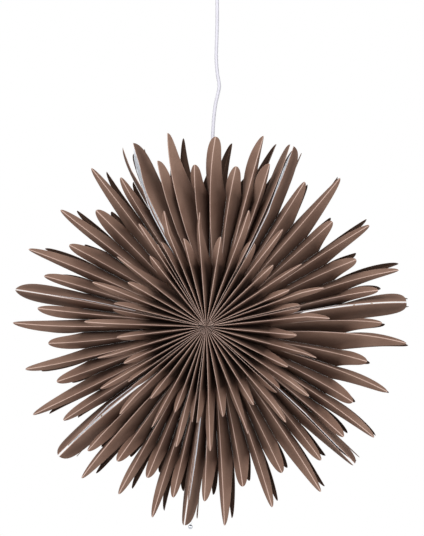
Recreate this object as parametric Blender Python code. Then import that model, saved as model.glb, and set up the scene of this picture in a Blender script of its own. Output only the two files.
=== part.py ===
"""Hanging paper star with a lamp inside, made of seven fans of folded petals.

Units are metres, +Z is up and the star faces -Y. The origin is the middle of
the ceiling face. The petals are worked out in the star's own plane, as a
distance from its axis, a turn about it and a height in front of or behind its
middle plane.
"""
import math

import bmesh
import bpy
from mathutils import Vector
from mathutils.geometry import tessellate_polygon

# Where the star hangs, from the ceiling face.
STAR_DROP = 0.559
STAR_SHIFT = -0.008

# What touching pieces keep between them.
FIT_GAP = 0.0003

# Paper and the petals' depth.
PAPER = 0.0005
SEAM_CLEAR = 0.0002
GLUE_HALF = 0.0006
OUTER_HEIGHT = 0.055
INNER_HEIGHT = 0.070

# Radii at which the petals end.
CENTRE_LOBE = 0.2861
SHORT_LOBE = 0.2448
LONG_LOBE = 0.2984
EDGE_LOBE = 0.2616
SEAM_LOBE = 0.2999
NEAR_TIP = 0.1851
MID_TIP = 0.1362
CENTRE_TIP = 0.1714
SEAM_TIP = 0.1438
NOTCH = 0.2
BEND = 0.144
TIP_ROUND = 0.011
LOBE_STEP = 0.012
END_HEIGHT = 0.0025
TIP_BACK_SHARE = 0.25
TIP_DROP_SHARE = 0.55
TIP_FALL_SHARE = 1.6
FALL_SHARE = 0.42
EDGE_PAPER_SHARE = 0.6

# The hollow for the lamp and the solid core at the axis.
CAVITY = 0.050
CAVITY_HEIGHT = 0.045
MOUTH_RISE = 0.002
LOW_START = 0.030
CORE = 0.012
CORE_DIP = 0.006
CORE_POINT = 0.0008
FIN_HALF = 0.0002
CABLE_WAY = 0.0039

# Clear films between the fans, and their studs.
FILM = 0.0004
FILM_START = 0.118
FILM_FLAT = 0.195
FILM_OVER = 0.0004
FILM_END = SEAM_LOBE + FILM_OVER
FILM_END_HALF = 0.0016
FILM_WIDE_BACK = 0.0403
FILM_SLOPE_BACK = 0.0203
FILM_CORNER_BACK = 0.0063
FILM_OUTLINE = (
    (FILM_START, 0.022), (SEAM_TIP, 0.030), (SEAM_TIP + LOBE_STEP, 0.0324), (FILM_FLAT, 0.040),
    (FILM_END - FILM_WIDE_BACK, 0.046), (FILM_END - FILM_SLOPE_BACK, 0.034),
    (FILM_END - FILM_CORNER_BACK, 0.012))
STUD_SHARES = (0.2882352941, 0.6)
STUD_RADII = tuple(FILM_FLAT + share * (FILM_END - FILM_SLOPE_BACK - FILM_FLAT) for share in STUD_SHARES)
STUD_FLANGE = 0.00175
STUD_BARREL = 0.0009
STUD_THICK = 0.0005
STUD_GAP = 0.0004
STUD_HOLE = STUD_BARREL + STUD_GAP

# Ball on its loop, under the lowest film.
HANG_BACK = 0.002
HANG_R = FILM_END - HANG_BACK
LOOP_RADIUS = 0.0026
LOOP_WIRE = 0.00035
HANG_HOLE = LOOP_WIRE + 2.0 * FIT_GAP
LOOP_STEM = 0.0031
BALL_RADIUS = 0.0036
BALL_BORE = LOOP_WIRE + FIT_GAP
BALL_BORE_DEPTH = 0.0033

# Cable.
CABLE_RADIUS = 0.0027
CABLE_TOP = 0.515
CABLE_END = 0.0366
CABLE_ROUTE = (
    (0.0, CABLE_END), (0.0, 0.200), (0.0, 0.262), (0.0009, 0.286), (0.0022, 0.312), (0.0047, 0.336),
    (0.0080, 0.352), (0.0112, 0.366), (0.0108, 0.374), (0.0086, 0.386), (0.0070, 0.402), (0.0066, 0.418),
    (0.0074, 0.444), (0.0080, 0.470), (0.0080, 0.500), (0.0080, CABLE_TOP))
CABLE_STEP = 0.008

# Bulb, measured from the star's middle.
CLEAR_SHARE = 0.3
CAP_RADIUS = 0.0068
CAP_NECK = 0.003
CAP_TOP = 0.0205
CAP_SHOULDER = 0.0185
CAP_BOTTOM = -0.003
CONTACT_RADIUS = 0.0025
CONTACT_TOP = 0.0225
GLASS_TOP = CAP_BOTTOM - FIT_GAP
GLASS_PROFILE = (
    (0.0, GLASS_TOP), (0.0064, GLASS_TOP), (0.0072, -0.007), (0.0118, -0.0125), (0.0158, -0.0175),
    (0.0175, -0.0235), (0.0165, -0.0295), (0.0129, -0.0350), (0.0070, -0.0385), (0.0, -0.0397))

# Lamp holder, measured from the star's middle.
SPREADER_RADIUS = 0.020
SPREADER_Z = 0.044
SPREADER_THICK = 0.0015
SPREADER_HOLE = CABLE_RADIUS + 2.0 * FIT_GAP
RELIEF_TOP = SPREADER_Z - FIT_GAP
RELIEF_BOTTOM = 0.034
RELIEF_WIDE = 0.009
RELIEF_NARROW = 0.0052
RELIEF_BORE = CABLE_RADIUS + FIT_GAP
RELIEF_FLOOR = CABLE_END - FIT_GAP
SHELL_RADIUS = 0.012
SHELL_WALL = 0.0012
SHELL_TOP = RELIEF_BOTTOM - FIT_GAP
SHELL_BOTTOM = -0.004
INSERT_RADIUS = SHELL_RADIUS - SHELL_WALL - FIT_GAP
INSERT_BORE = CAP_RADIUS + FIT_GAP
INSERT_GAP = 0.0004
INSERT_TOP = SHELL_TOP - SHELL_WALL - INSERT_GAP
CONTACT_ROOM = 0.002
INSERT_FLOOR = CONTACT_TOP + CONTACT_ROOM
INSERT_BOTTOM = -0.002
RING_RADIUS = 0.0158
RING_BORE = SHELL_RADIUS + FIT_GAP
RING_TOP = 0.004
RING_BOTTOM = 0.0

# Ceiling fitting, measured down from the ceiling face.
CUP_OUTER = (
    (0.034, 0.0), (0.034, -0.008), (0.0315, -0.022), (0.0255, -0.034), (0.0175, -0.0415), (0.0088, -0.045))
CUP_INNER = (
    (0.0088, -0.0434), (0.0168, -0.0401), (0.0243, -0.0330), (0.0300, -0.0215), (0.0324, -0.008),
    (0.0324, 0.0))
GLAND_PROFILE = (
    (0.0115, -0.0395), (0.0115, -0.0417), (0.0085, -0.0429), (0.0085, -0.0453), (0.0110, -0.0453),
    (0.0106, -0.0500), (0.0090, -0.0550), (0.0063, -0.0550), (0.0030, -0.0480), (0.0067, -0.0395))
PLATE_RADIUS = 0.018
PLATE_THICK = 0.002
PLATE_SCREW = 0.0021
PLATE_SCREW_X = 0.012
HOOK_WIRE = 0.0012
HOOK_TOP = -PLATE_THICK - FIT_GAP
HOOK_LOW = -0.0222
HOOK_ROUTE = (
    (0.0, HOOK_TOP), (0.0, -0.0080), (0.0016, -0.0112), (0.0045, -0.0140), (0.0052, -0.0175),
    (0.0036, -0.0208),
    (0.0, HOOK_LOW), (-0.0036, -0.0208), (-0.0050, -0.0178))
BLOCK_SIZE = (0.018, 0.011, 0.010)
BLOCK_TOP = HOOK_LOW - HOOK_WIRE - FIT_GAP
CORES_RADIUS = 0.0014
CORES_TOP = BLOCK_TOP - BLOCK_SIZE[2] - FIT_GAP
CORES_BOTTOM = -0.0423

# Fans, in turns about the star's axis, counted from +X towards +Z.
FAN_NAMES = "abcdefg"
START_SHARES = (0.4683, 0.3117, 0.1767, 0.0164, -0.1211, -0.2714, -0.3928)
SPAN_SHARES = (0.1475, 0.1283, 0.1542, 0.1336, 0.1447, 0.1097, 0.1356)
RIDGE_SHARES = (
    (0.099, 0.221, 0.347, 0.505, 0.646, 0.794, 0.916),
    (0.148, 0.227, 0.427, 0.546, 0.736, 0.840, 0.925),
    (0.132, 0.280, 0.425, 0.574, 0.729, 0.852, 0.950),
    (0.127, 0.221, 0.402, 0.540, 0.717, 0.817, 0.938),
    (0.120, 0.224, 0.374, 0.511, 0.660, 0.796, 0.910),
    (0.092, 0.216, 0.351, 0.516, 0.660, 0.816, 0.903),
    (0.114, 0.245, 0.393, 0.528, 0.696, 0.814, 0.920))
LEAN_SHARES = (
    (-0.0069, -0.0047, -0.0076, 0.0007, -0.0047, 0.0010, 0.0142),
    (0.0167, 0.0236, 0.0203, 0.0202, 0.0132, -0.0063, -0.0111),
    (-0.0111, -0.0023, -0.0044, 0.0044, 0.0108, 0.0165, 0.0133),
    (0.0153, 0.0228, 0.0108, 0.0146, 0.0139, 0.0093, 0.0056),
    (0.0031, 0.0097, 0.0021, 0.0056, 0.0063, -0.0001, 0.0),
    (-0.0014, -0.0016, -0.0036, -0.0016, -0.0034, -0.0119, -0.0122),
    (-0.0094, 0.0012, 0.0021, 0.0101, 0.0138, 0.0053, -0.0014))
BACK_TURN_SHARES = (-0.0033, -0.0067, 0.0097, -0.0033, -0.0014, 0.0014, 0.0033)
FILM_PLACE_SHARES = (0.5, 0.4, 0.5, 0.5, 0.35, 0.5, 0.5)
FILM_SEAT_SIDES = (0, 1, 0, 0, 0, 1, 1)
LEAN_FULL = 0.150
LEAN_END = 0.300
HANG_FILM = 4
TOP_FAN = 1

# Petals of one fan, from one seam to the next.
PETALS = (
    "seam", "edge", "near", "long", "mid", "short", "centre", "short", "mid", "long", "near", "edge", "seam")
LOW = {"edge": EDGE_LOBE, "long": LONG_LOBE, "short": SHORT_LOBE}
TALL = {"near": NEAR_TIP, "mid": MID_TIP}
BOTH = {"centre": (CENTRE_TIP, CENTRE_LOBE), "seam": (SEAM_TIP, SEAM_LOBE)}
EDGE_STEP_SHARES = (0.965, 0.83, 0.60, 0.30)
BLUNT_POWER = 2.2
SLIM_POWER = 1.7
LOBE_HALF_SHARE = 0.0092
ROUND_SPINS = 16
SMALL_SPINS = 8


def chord_turn(radius, near, far):
    """Return the turn at a radius on the straight line between two (radius, turn) points."""
    if radius <= near[0]:
        return near[1]
    if radius >= far[0]:
        return far[1]
    lean = near[0] * (far[0] - radius) / ((far[0] - near[0]) * radius)
    return far[1] + (near[1] - far[1]) * lean


def star_point(radius, turn, height):
    """Return the place of a point of the star, given its turn in radians."""
    return Vector((radius * math.cos(turn) + STAR_SHIFT, -height, radius * math.sin(turn) - STAR_DROP))


def add_object(name, mesh, colour, rough, metal=0.0, clear=0.0):
    """Link one mesh as an object with a material of its own."""
    material = bpy.data.materials.new(name)
    material.use_nodes = True
    shader = material.node_tree.nodes["Principled BSDF"]
    shader.inputs["Base Color"].default_value = (*colour, 1.0)
    shader.inputs["Roughness"].default_value = rough
    shader.inputs["Metallic"].default_value = metal
    shader.inputs["Transmission Weight"].default_value = clear
    mesh.materials.clear()
    mesh.materials.append(material)
    thing = bpy.data.objects.new(name, mesh)
    bpy.context.scene.collection.objects.link(thing)
    return thing


def close_mesh(name, work):
    """Turn a bmesh to a mesh whose faces all look outwards."""
    bmesh.ops.recalc_face_normals(work, faces=work.faces)
    mesh = bpy.data.meshes.new(name)
    work.to_mesh(mesh)
    work.free()
    return mesh


def lean_part(radius, height):
    """Return how much of its fan's lean a point takes, by its radius and height."""
    outwards = min(1.0, max(0.0, (LEAN_END - radius) / (LEAN_END - LEAN_FULL)))
    return outwards * min(1.0, height / INNER_HEIGHT)


def between(rows, place):
    """Return the value at a place among rows of falling (place, value), joined by straight lines."""
    for first, second in zip(rows, rows[1:]):
        if place >= second[0]:
            part = (first[0] - place) / (first[0] - second[0])
            return first[1] + (second[1] - first[1]) * min(1.0, max(0.0, part))
    return rows[-1][1]


class Fan:
    """One fan: a glued stack of folded petals between two seams."""

    def __init__(self, index):
        self.index = index
        whole = 2.0 * math.pi
        self.start = START_SHARES[index] * whole
        self.span = SPAN_SHARES[index] * whole
        self.work = bmesh.new()
        outer = [self.start - share * self.span for share in RIDGE_SHARES[index]]
        self.tall = [
            self.start, 0.5 * (outer[0] + outer[1]), 0.5 * (outer[1] + outer[2]), outer[3],
            0.5 * (outer[4] + outer[5]), 0.5 * (outer[5] + outer[6]), self.start - self.span]
        self.leans = [(turn, share * whole) for turn, share in zip(self.tall, LEAN_SHARES[index])]
        back = BACK_TURN_SHARES[index] * whole
        self.backs = [(self.tall[0], 0.0), (self.tall[2], back), (self.tall[4], back), (self.tall[6], 0.0)]
        self.starts = [self.even(place) for place in range(len(PETALS))]
        self.ends = []
        low_count = 0
        for place, kind in enumerate(PETALS):
            if kind in LOW or kind == "centre":
                self.ends.append(outer[low_count])
                low_count += 1
            else:
                self.ends.append(self.tall[place // 2])
        self.valleys = self.valley_paths()

    def even(self, place):
        """Return a ridge's turn at the cavity: a low one stands half-way between its neighbours."""
        return 0.5 * (self.tall[place // 2] + self.tall[(place + 1) // 2])

    def ridge(self, place, radius):
        """Return a ridge's turn at a radius, before its fan leans."""
        kind = PETALS[place]
        if kind not in LOW:
            return self.ends[place]
        return chord_turn(radius, (CAVITY, self.starts[place]), (LOW[kind], self.ends[place]))

    def valley_paths(self):
        """Return each valley's line, half-way between its neighbours at both ends."""
        places = range(len(PETALS) - 1)
        near = [0.5 * (self.ridge(place, CAVITY) + self.ridge(place + 1, CAVITY)) for place in places]
        if self.index == TOP_FAN:
            clear = math.asin(CABLE_WAY / CAVITY)
            near[5] = max(near[5], 0.5 * math.pi + clear)
            near[6] = min(near[6], 0.5 * math.pi - clear)
            self.starts[5] = 0.5 * (near[5] + self.tall[2])
            self.starts[7] = 0.5 * (near[6] + self.tall[4])
            near[4] = 0.5 * (self.starts[5] + self.tall[2])
            near[7] = 0.5 * (self.starts[7] + self.tall[4])
        far = [0.5 * (self.ridge(place, NOTCH) + self.ridge(place + 1, NOTCH)) for place in places]
        if self.index == TOP_FAN:
            clear = math.asin(CABLE_WAY / NOTCH)
            far[5] = max(far[5], 0.5 * math.pi + clear)
            far[6] = min(far[6], 0.5 * math.pi - clear)
        return [((CAVITY, start), (NOTCH, end)) for start, end in zip(near, far)]

    def lean(self, radius, turn, height, side):
        """Return a point's turn once its fan leans."""
        turn_out = turn + lean_part(radius, height) * between(self.leans, turn)
        if side < 0:
            turn_out += between(self.backs, turn) * height / OUTER_HEIGHT
        return turn_out

    def spot(self, radius, turn, height, side):
        """Place a vertex of this fan in front of the middle plane, or behind it."""
        return self.work.verts.new(star_point(radius, self.lean(radius, turn, height, side), side * height))

    def half_turn(self, place, valley, radius):
        """Return the turn from a ridge to one of its valleys."""
        radius = min(radius, NOTCH)
        near, far = self.valleys[valley]
        return chord_turn(radius, near, far) - self.ridge(place, radius)


def low_height(radius, tip):
    """Return a low ridge's height at a radius."""
    return OUTER_HEIGHT * (radius - LOW_START) / (tip - LOW_START)


def lobe_nodes(tip, power):
    """Return a lobe's free edge from its tip in to the notch, as (radius, height, share, mark)."""
    nodes = []
    for step in EDGE_STEP_SHARES:
        radius = NOTCH + step * (tip - NOTCH)
        height = OUTER_HEIGHT * (1.0 - (1.0 - step ** power) ** (1.0 / power))
        nodes.append((radius, height, height / low_height(radius, tip), "free"))
    return nodes


def tall_tip_nodes(tip):
    """Return the rounded end of a tall ridge, from its fold down."""
    near = INNER_HEIGHT - TIP_DROP_SHARE * TIP_ROUND
    far = INNER_HEIGHT - TIP_FALL_SHARE * TIP_ROUND
    return [
        (tip - TIP_ROUND, INNER_HEIGHT, 1.0, "fold"),
        (tip - TIP_BACK_SHARE * TIP_ROUND, near, near / INNER_HEIGHT, "free"),
        (tip, far, far / INNER_HEIGHT, "free")]


def petal_nodes(kind):
    """Return one petal half's outline as (radius, height, share of the way to the fold, mark).

    Marks: fold is shared by both halves, free has an edge of its own, glue is
    shared with the neighbour, mouth and core bound the solid part near the axis.
    """
    glue = [(NOTCH, 0.0, 0.0, "glue"), (BEND, 0.0, 0.0, "glue"), (CAVITY, 0.0, 0.0, "glue")]
    share = CAVITY_HEIGHT / INNER_HEIGHT
    inner_end = [(CAVITY, CAVITY_HEIGHT, share, "mouth"), (CORE, CAVITY_HEIGHT, share, "core")]
    if kind in LOW:
        tip = LOW[kind]
        power = BLUNT_POWER if kind == "short" else SLIM_POWER
        ridge = [(radius, low_height(radius, tip), 1.0, "fold") for radius in (CAVITY, NOTCH, tip)]
        return ridge + lobe_nodes(tip, power) + glue
    start = [(CORE, INNER_HEIGHT, 1.0, "core_fold"), (CAVITY, INNER_HEIGHT, 1.0, "fold")]
    if kind in TALL:
        tip = TALL[kind]
        middle = 0.5 * (tip + NOTCH)
        fall = [
            (middle, FALL_SHARE * INNER_HEIGHT, FALL_SHARE, "free"),
            (NOTCH, END_HEIGHT, END_HEIGHT / INNER_HEIGHT, "free")]
        return start + tall_tip_nodes(tip) + fall + glue + inner_end
    tip, lobe = BOTH[kind]
    restart = tip + LOBE_STEP
    dip = low_height(restart, lobe)
    middle = 0.5 * (dip + INNER_HEIGHT - TIP_FALL_SHARE * TIP_ROUND)
    step = [(0.5 * (tip + restart), middle, middle / INNER_HEIGHT, "free")]
    ridge = [(radius, low_height(radius, lobe), 1.0, "fold") for radius in (restart, NOTCH, lobe)]
    power = BLUNT_POWER if kind == "centre" else SLIM_POWER
    return start + tall_tip_nodes(tip) + step + ridge + lobe_nodes(lobe, power) + glue + inner_end


def flat_triangles(nodes):
    """Cut a petal half's outline to triangles of indices: a fan from its glued line and one in its lobe."""
    glued = [step for step, node in enumerate(nodes) if node[3] == "glue"]
    first = 1 if nodes[0][3] == "core_fold" else 0
    lobe = [step for step, node in enumerate(nodes) if node[3] == "fold" and node[0] == NOTCH]
    last = lobe[0] if lobe else glued[0] - 1
    mouth = [step for step, node in enumerate(nodes) if node[3] == "mouth"]
    ring = [glued[2], *mouth, *range(first, last + 1), glued[0]]
    made = [(glued[1], start, end) for start, end in zip(ring, ring[1:])]
    if lobe:
        made += [(last, start, start + 1) for start in range(last + 1, glued[0])]
    if first:
        made += [(0, 1, mouth[0]), (0, mouth[0], mouth[0] + 1)]
    return made


class FanBuilder(Fan):
    """Builds a fan's closed mesh from its folds, valleys and petal outlines."""

    def build(self):
        """Return the fan's mesh."""
        self.glued = {}
        for valley in range(len(PETALS) - 1):
            self.add_glue(valley)
        for side in (1, -1):
            ends = {}
            for place, kind in enumerate(PETALS):
                if kind == "seam":
                    ends[place] = self.add_seam_petal(place, side)
                else:
                    ends[place] = self.add_petal(place, kind, side)
            self.add_core(ends, side)
        return close_mesh("petals_" + FAN_NAMES[self.index], self.work)

    def add_glue(self, valley):
        """Add a glued line: front and back vertices and one for the inside of each neighbour."""
        for radius in (NOTCH, BEND, CAVITY):
            near, far = self.valleys[valley]
            turn = chord_turn(radius, near, far)
            shift = PAPER / radius
            line = {
                "front": self.work.verts.new(star_point(radius, turn, GLUE_HALF)),
                "back": self.work.verts.new(star_point(radius, turn, -GLUE_HALF)),
                "first": self.work.verts.new(star_point(radius, turn + shift, 0.0)),
                "second": self.work.verts.new(star_point(radius, turn - shift, 0.0))}
            self.glued[valley, radius] = line
            if radius != BEND:
                self.face(line["front"], line["first"], line["back"], line["second"])

    def face(self, *corners):
        """Add one face."""
        self.work.faces.new(corners)

    def lobe_half(self, kind, radius, reach):
        """Return the turn between a fold and its petal's foot, as the lobe opens past the notch."""
        tip = LOW[kind] if kind in LOW else BOTH[kind][1] if kind in BOTH else NOTCH
        half = abs(reach)
        if radius <= NOTCH or tip <= NOTCH:
            return half
        opened = ((radius - NOTCH) / (tip - NOTCH)) ** 2
        return half + (2.0 * math.pi * LOBE_HALF_SHARE - half) * opened

    def half_petal(self, place, kind, valley, side, shared):
        """Add one half of a folded petal and return its vertices on the core."""
        nodes = petal_nodes(kind)
        towards = "first" if valley == place else "second"
        face_key = "front" if side > 0 else "back"
        outer = []
        inner = []
        for count, (radius, height, share, mark) in enumerate(nodes):
            fold = self.ridge(place, radius)
            reach = self.half_turn(place, valley, radius)
            open_half = abs(reach) * radius
            if mark == "glue":
                outer.append(self.glued[valley, radius][face_key])
                inner.append(self.glued[valley, radius][towards])
            elif mark in ("fold", "core_fold"):
                if count not in shared:
                    drop = min(PAPER * height / open_half, 0.5 * height)
                    pair = [self.spot(radius, fold, height, side), None]
                    if radius == CAVITY and kind not in LOW:
                        drop = INNER_HEIGHT - CAVITY_HEIGHT - MOUTH_RISE
                    if mark == "fold":
                        pair[1] = self.spot(radius, fold, height - drop, side)
                    shared[count] = pair
                outer.append(shared[count][0])
                inner.append(shared[count][1])
            elif mark in ("mouth", "core"):
                wide = max(open_half * (1.0 - share), FIN_HALF) / radius
                outer.append(self.spot(radius, fold + math.copysign(wide, reach), height, side))
                inner.append(shared[1][1] if mark == "mouth" else None)
            else:
                wide = self.lobe_half(kind, radius, reach) * radius * (1.0 - share)
                inside = wide - min(PAPER, EDGE_PAPER_SHARE * wide)
                sign = math.copysign(1.0, reach)
                outer.append(self.spot(radius, fold + sign * wide / radius, height, side))
                inner.append(self.spot(radius, fold + sign * inside / radius, height, side))
        self.skin(nodes, outer, inner)
        return outer

    def skin(self, nodes, outer, inner):
        """Add a half petal's two faces and its free edges."""
        for corners in flat_triangles(nodes):
            self.face(*(outer[corner] for corner in corners))
        lined = [count for count, node in enumerate(nodes) if node[3] not in ("mouth", "core", "core_fold")]
        inner_nodes = [nodes[count] for count in lined]
        for corners in flat_triangles(inner_nodes):
            self.face(*(inner[lined[corner]] for corner in corners))
        for first, second in zip(range(len(nodes)), [*range(1, len(nodes)), 0]):
            marks = {nodes[first][3], nodes[second][3]}
            if marks <= {"fold", "core_fold"}:
                continue
            if marks in ({"glue"}, {"core", "core_fold"}, {"mouth", "core"}):
                continue
            self.face(outer[first], outer[second], inner[second], inner[first])

    def add_petal(self, place, kind, side):
        """Add both halves of a folded petal and, for a tall one, its fin to the core."""
        shared = {}
        first = self.half_petal(place, kind, place - 1, side, shared)
        second = self.half_petal(place, kind, place, side, shared)
        if kind in LOW:
            return None
        self.face(first[-2], shared[1][1], second[-2])
        self.face(first[-2], first[-1], second[-1], second[-2])
        return {"top": shared[0][0], "first": first[-1], "second": second[-1]}

    def add_seam_petal(self, place, side):
        """Add the single leaf that ends a fan at a seam."""
        valley = 0 if place == 0 else place - 1
        inwards = -1.0 if place == 0 else 1.0
        towards = "first" if place == 0 else "second"
        face_key = "front" if side > 0 else "back"
        nodes = petal_nodes("seam")
        outer = []
        inner = []
        for radius, height, share, mark in nodes:
            if mark == "glue":
                outer.append(self.glued[valley, radius][face_key])
                inner.append(self.glued[valley, radius][towards])
                continue
            reach = self.half_turn(place, valley, radius)
            wide = self.lobe_half("seam", radius, reach) * (1.0 - share)
            turn = self.lean(radius, self.ridge(place, radius) + inwards * wide, height, side)
            turn = self.clear_of_seam(place, radius, height, turn)
            depth = side * height
            thick = inwards * PAPER / radius
            outer.append(self.work.verts.new(star_point(radius, turn + share * thick, depth)))
            inner.append(self.work.verts.new(star_point(radius, turn - (1.0 - share) * thick, depth)))
        for corners in flat_triangles(nodes):
            self.face(*(outer[corner] for corner in corners))
            self.face(*(inner[corner] for corner in corners))
        for first, second in zip(range(len(nodes)), [*range(1, len(nodes)), 0]):
            marks = {nodes[first][3], nodes[second][3]}
            if marks in ({"glue"}, {"core", "core_fold"}):
                continue
            self.face(outer[first], outer[second], inner[second], inner[first])
        return {"outer": (outer[0], outer[-1]), "inner": (inner[0], inner[-1])}

    def clear_of_seam(self, place, radius, height, turn):
        """Return a seam edge's turn, kept clear of the next fan near the axis."""
        middle = seam_turn(self.index if place else self.index - 1, radius, height, 0.5)
        gap = (turn - middle + math.pi) % (2.0 * math.pi) - math.pi
        least = math.asin(SEAM_CLEAR / radius)
        if place and gap < least:
            return turn - gap + least
        if not place and gap > -least:
            return turn - gap - least
        return turn

    def add_core(self, ends, side):
        """Close the fan towards the axis with a small solid wedge."""
        middle = self.start - 0.5 * self.span
        top = self.spot(CORE_POINT, middle, INNER_HEIGHT, side)
        bottom = self.spot(CORE_POINT, middle, CAVITY_HEIGHT, side)
        tall = [place for place, kind in enumerate(PETALS) if kind not in LOW]
        last = tall[-1]
        self.face(top, ends[0]["inner"][0], ends[0]["outer"][0])
        self.face(bottom, ends[0]["inner"][1], ends[0]["outer"][1])
        self.face(top, ends[0]["inner"][0], ends[0]["inner"][1], bottom)
        self.face(top, ends[last]["inner"][0], ends[last]["outer"][0])
        self.face(bottom, ends[last]["inner"][1], ends[last]["outer"][1])
        self.face(top, ends[last]["inner"][0], ends[last]["inner"][1], bottom)
        for place, following in zip(tall, tall[1:]):
            left_top = ends[place]["outer"][0] if place == 0 else ends[place]["top"]
            left_low = ends[place]["outer"][1] if place == 0 else ends[place]["second"]
            right_top = ends[following]["outer"][0] if following == last else ends[following]["top"]
            right_low = ends[following]["outer"][1] if following == last else ends[following]["first"]
            turn = 0.5 * (self.ridge(place, CORE) + self.ridge(following, CORE))
            dip = self.spot(CORE, turn, INNER_HEIGHT - CORE_DIP, side)
            self.face(dip, left_top, left_low)
            self.face(dip, left_low, right_low)
            self.face(dip, right_low, right_top)
            self.face(top, left_top, dip)
            self.face(top, dip, right_top)
            self.face(bottom, left_low, right_low)
            if following != last:
                self.face(bottom, ends[following]["first"], ends[following]["second"])


def seam_turn(index, radius, height, share):
    """Return the turn of the seam after a fan, a share of the way from that fan to the next."""
    index %= len(FAN_NAMES)
    following = (index + 1) % len(FAN_NAMES)
    whole = 2.0 * math.pi
    end = (START_SHARES[index] - SPAN_SHARES[index]) * whole
    start = START_SHARES[following] * whole - (whole if following == 0 else 0.0)
    part = lean_part(radius, height) * whole
    end += part * LEAN_SHARES[index][-1]
    start += part * LEAN_SHARES[following][0]
    return end + share * (start - end)


def foot_turn(index, radius, side):
    """Return the turn at which the end leaf beside a seam is glued down."""
    fan = Fan((index + side) % len(FAN_NAMES))
    near, far = fan.valleys[0 if side else -1]
    fan.work.free()
    turn = chord_turn(radius, near, far)
    return turn - 2.0 * math.pi if index + side == len(FAN_NAMES) else turn


def film_turn(index, radius):
    """Return the turn of the film in the seam after a fan, seated on the end leaf's fold near the axis."""
    if radius > FILM_FLAT:
        near = (FILM_FLAT, film_turn(index, FILM_FLAT))
        return chord_turn(radius, near, (FILM_END, seam_turn(index, FILM_END, 0.0, FILM_PLACE_SHARES[index])))
    rows = [(-place, height) for place, height in FILM_OUTLINE]
    height = min(between(rows, -radius), low_height(radius, SEAM_LOBE))
    side = FILM_SEAT_SIDES[index]
    clear = (FIT_GAP + 0.5 * FILM) / radius
    fold = seam_turn(index, radius, height, side)
    foot = foot_turn(index, radius, side)
    if side:
        return max(fold, foot + PAPER / radius) + clear
    return min(fold, foot - PAPER / radius) - clear


def ring_points(radius, height, hole, count):
    """Return a round hole's outline in the radius and height plane."""
    steps = [2.0 * math.pi * step / count for step in range(count)]
    return [(radius + hole * math.cos(step), height + hole * math.sin(step)) for step in steps]


def build_film(index):
    """Return the clear film of the seam after a fan, with its stud holes."""
    low = [(radius, -height) for radius, height in FILM_OUTLINE]
    end = [(FILM_END, -FILM_END_HALF), (FILM_END, FILM_END_HALF)]
    loops = [low + end + [(radius, height) for radius, height in reversed(FILM_OUTLINE)]]
    loops += [ring_points(radius, 0.0, STUD_HOLE, SMALL_SPINS) for radius in STUD_RADII]
    if index == HANG_FILM:
        loops.append(ring_points(HANG_R, 0.0, HANG_HOLE, SMALL_SPINS))
    work = bmesh.new()
    sides = []
    for shift in (-0.5 * FILM, 0.5 * FILM):
        side = [
            work.verts.new(star_point(radius, film_turn(index, radius) + shift / radius, height))
            for loop in loops for radius, height in loop]
        sides.append(side)
    flat = tessellate_polygon([[Vector((*point, 0.0)) for point in loop] for loop in loops])
    for corners in flat:
        for side in sides:
            work.faces.new([side[corner] for corner in corners])
    start = 0
    for loop in loops:
        for step in range(len(loop)):
            first = start + step
            second = start + (step + 1) % len(loop)
            work.faces.new((sides[0][first], sides[0][second], sides[1][second], sides[1][first]))
        start += len(loop)
    return close_mesh("film", work)


def lathe(name, profile, centre, spins=ROUND_SPINS, axis=(0.0, 0.0, 1.0)):
    """Turn a profile of (radius, height) about an axis; it ends on the axis or is a ring."""
    work = bmesh.new()
    along = Vector(axis).normalized()
    side = along.orthogonal().normalized()
    other = along.cross(side)
    rows = []
    for radius, height in profile:
        base = Vector(centre) + along * height
        if radius == 0.0:
            rows.append([work.verts.new(base)])
            continue
        angles = [2.0 * math.pi * step / spins for step in range(spins)]
        rows.append([
            work.verts.new(base + radius * (math.cos(a) * side + math.sin(a) * other)) for a in angles])
    pairs = list(zip(rows, rows[1:]))
    if len(rows[0]) > 1:
        pairs.append((rows[-1], rows[0]))
    for first, second in pairs:
        for step in range(spins):
            following = (step + 1) % spins
            corners = [first[step % len(first)], first[following % len(first)],
                       second[following % len(second)], second[step % len(second)]]
            work.faces.new(list(dict.fromkeys(corners)))
    return close_mesh(name, work)


def block(name, low, high):
    """Return a plain box between two corners."""
    work = bmesh.new()
    made = bmesh.ops.create_cube(work, size=1.0)
    for vertex in made["verts"]:
        vertex.co = Vector([high[k] if vertex.co[k] > 0 else low[k] for k in range(3)])
    return close_mesh(name, work)


def smooth_route(points, step):
    """Return evenly spaced points on a smooth curve through the route's own points."""
    places = [Vector((x, 0.0, z)) for x, z in points]
    padded = [2 * places[0] - places[1], *places, 2 * places[-1] - places[-2]]
    made = [places[0]]
    for before, start, end, after in zip(padded, padded[1:], padded[2:], padded[3:]):
        pieces = max(1, round((end - start).length / step))
        for piece in range(1, pieces + 1):
            t = piece / pieces
            made.append(0.5 * (
                2 * start + (end - before) * t + (2 * before - 5 * start + 4 * end - after) * t ** 2
                + (3 * start - before - 3 * end + after) * t ** 3))
    return made


def tube(name, places, radius, shift=(0.0, 0.0, 0.0), rounds=2):
    """Return a round tube along a row of points, as a mesh."""
    curve = bpy.data.curves.new(name, "CURVE")
    curve.dimensions = "3D"
    curve.bevel_depth = radius
    curve.bevel_resolution = rounds
    curve.use_fill_caps = True
    line = curve.splines.new("POLY")
    line.points.add(len(places) - 1)
    for point, place in zip(line.points, places):
        point.co = (*(place + Vector(shift)), 1.0)
    holder = bpy.data.objects.new(name, curve)
    bpy.context.scene.collection.objects.link(holder)
    mesh = bpy.data.meshes.new_from_object(holder)
    bpy.data.objects.remove(holder)
    bpy.data.curves.remove(curve)
    work = bmesh.new()
    work.from_mesh(mesh)
    bmesh.ops.remove_doubles(work, verts=work.verts, dist=0.01 * radius)
    return close_mesh(name, work)


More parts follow.
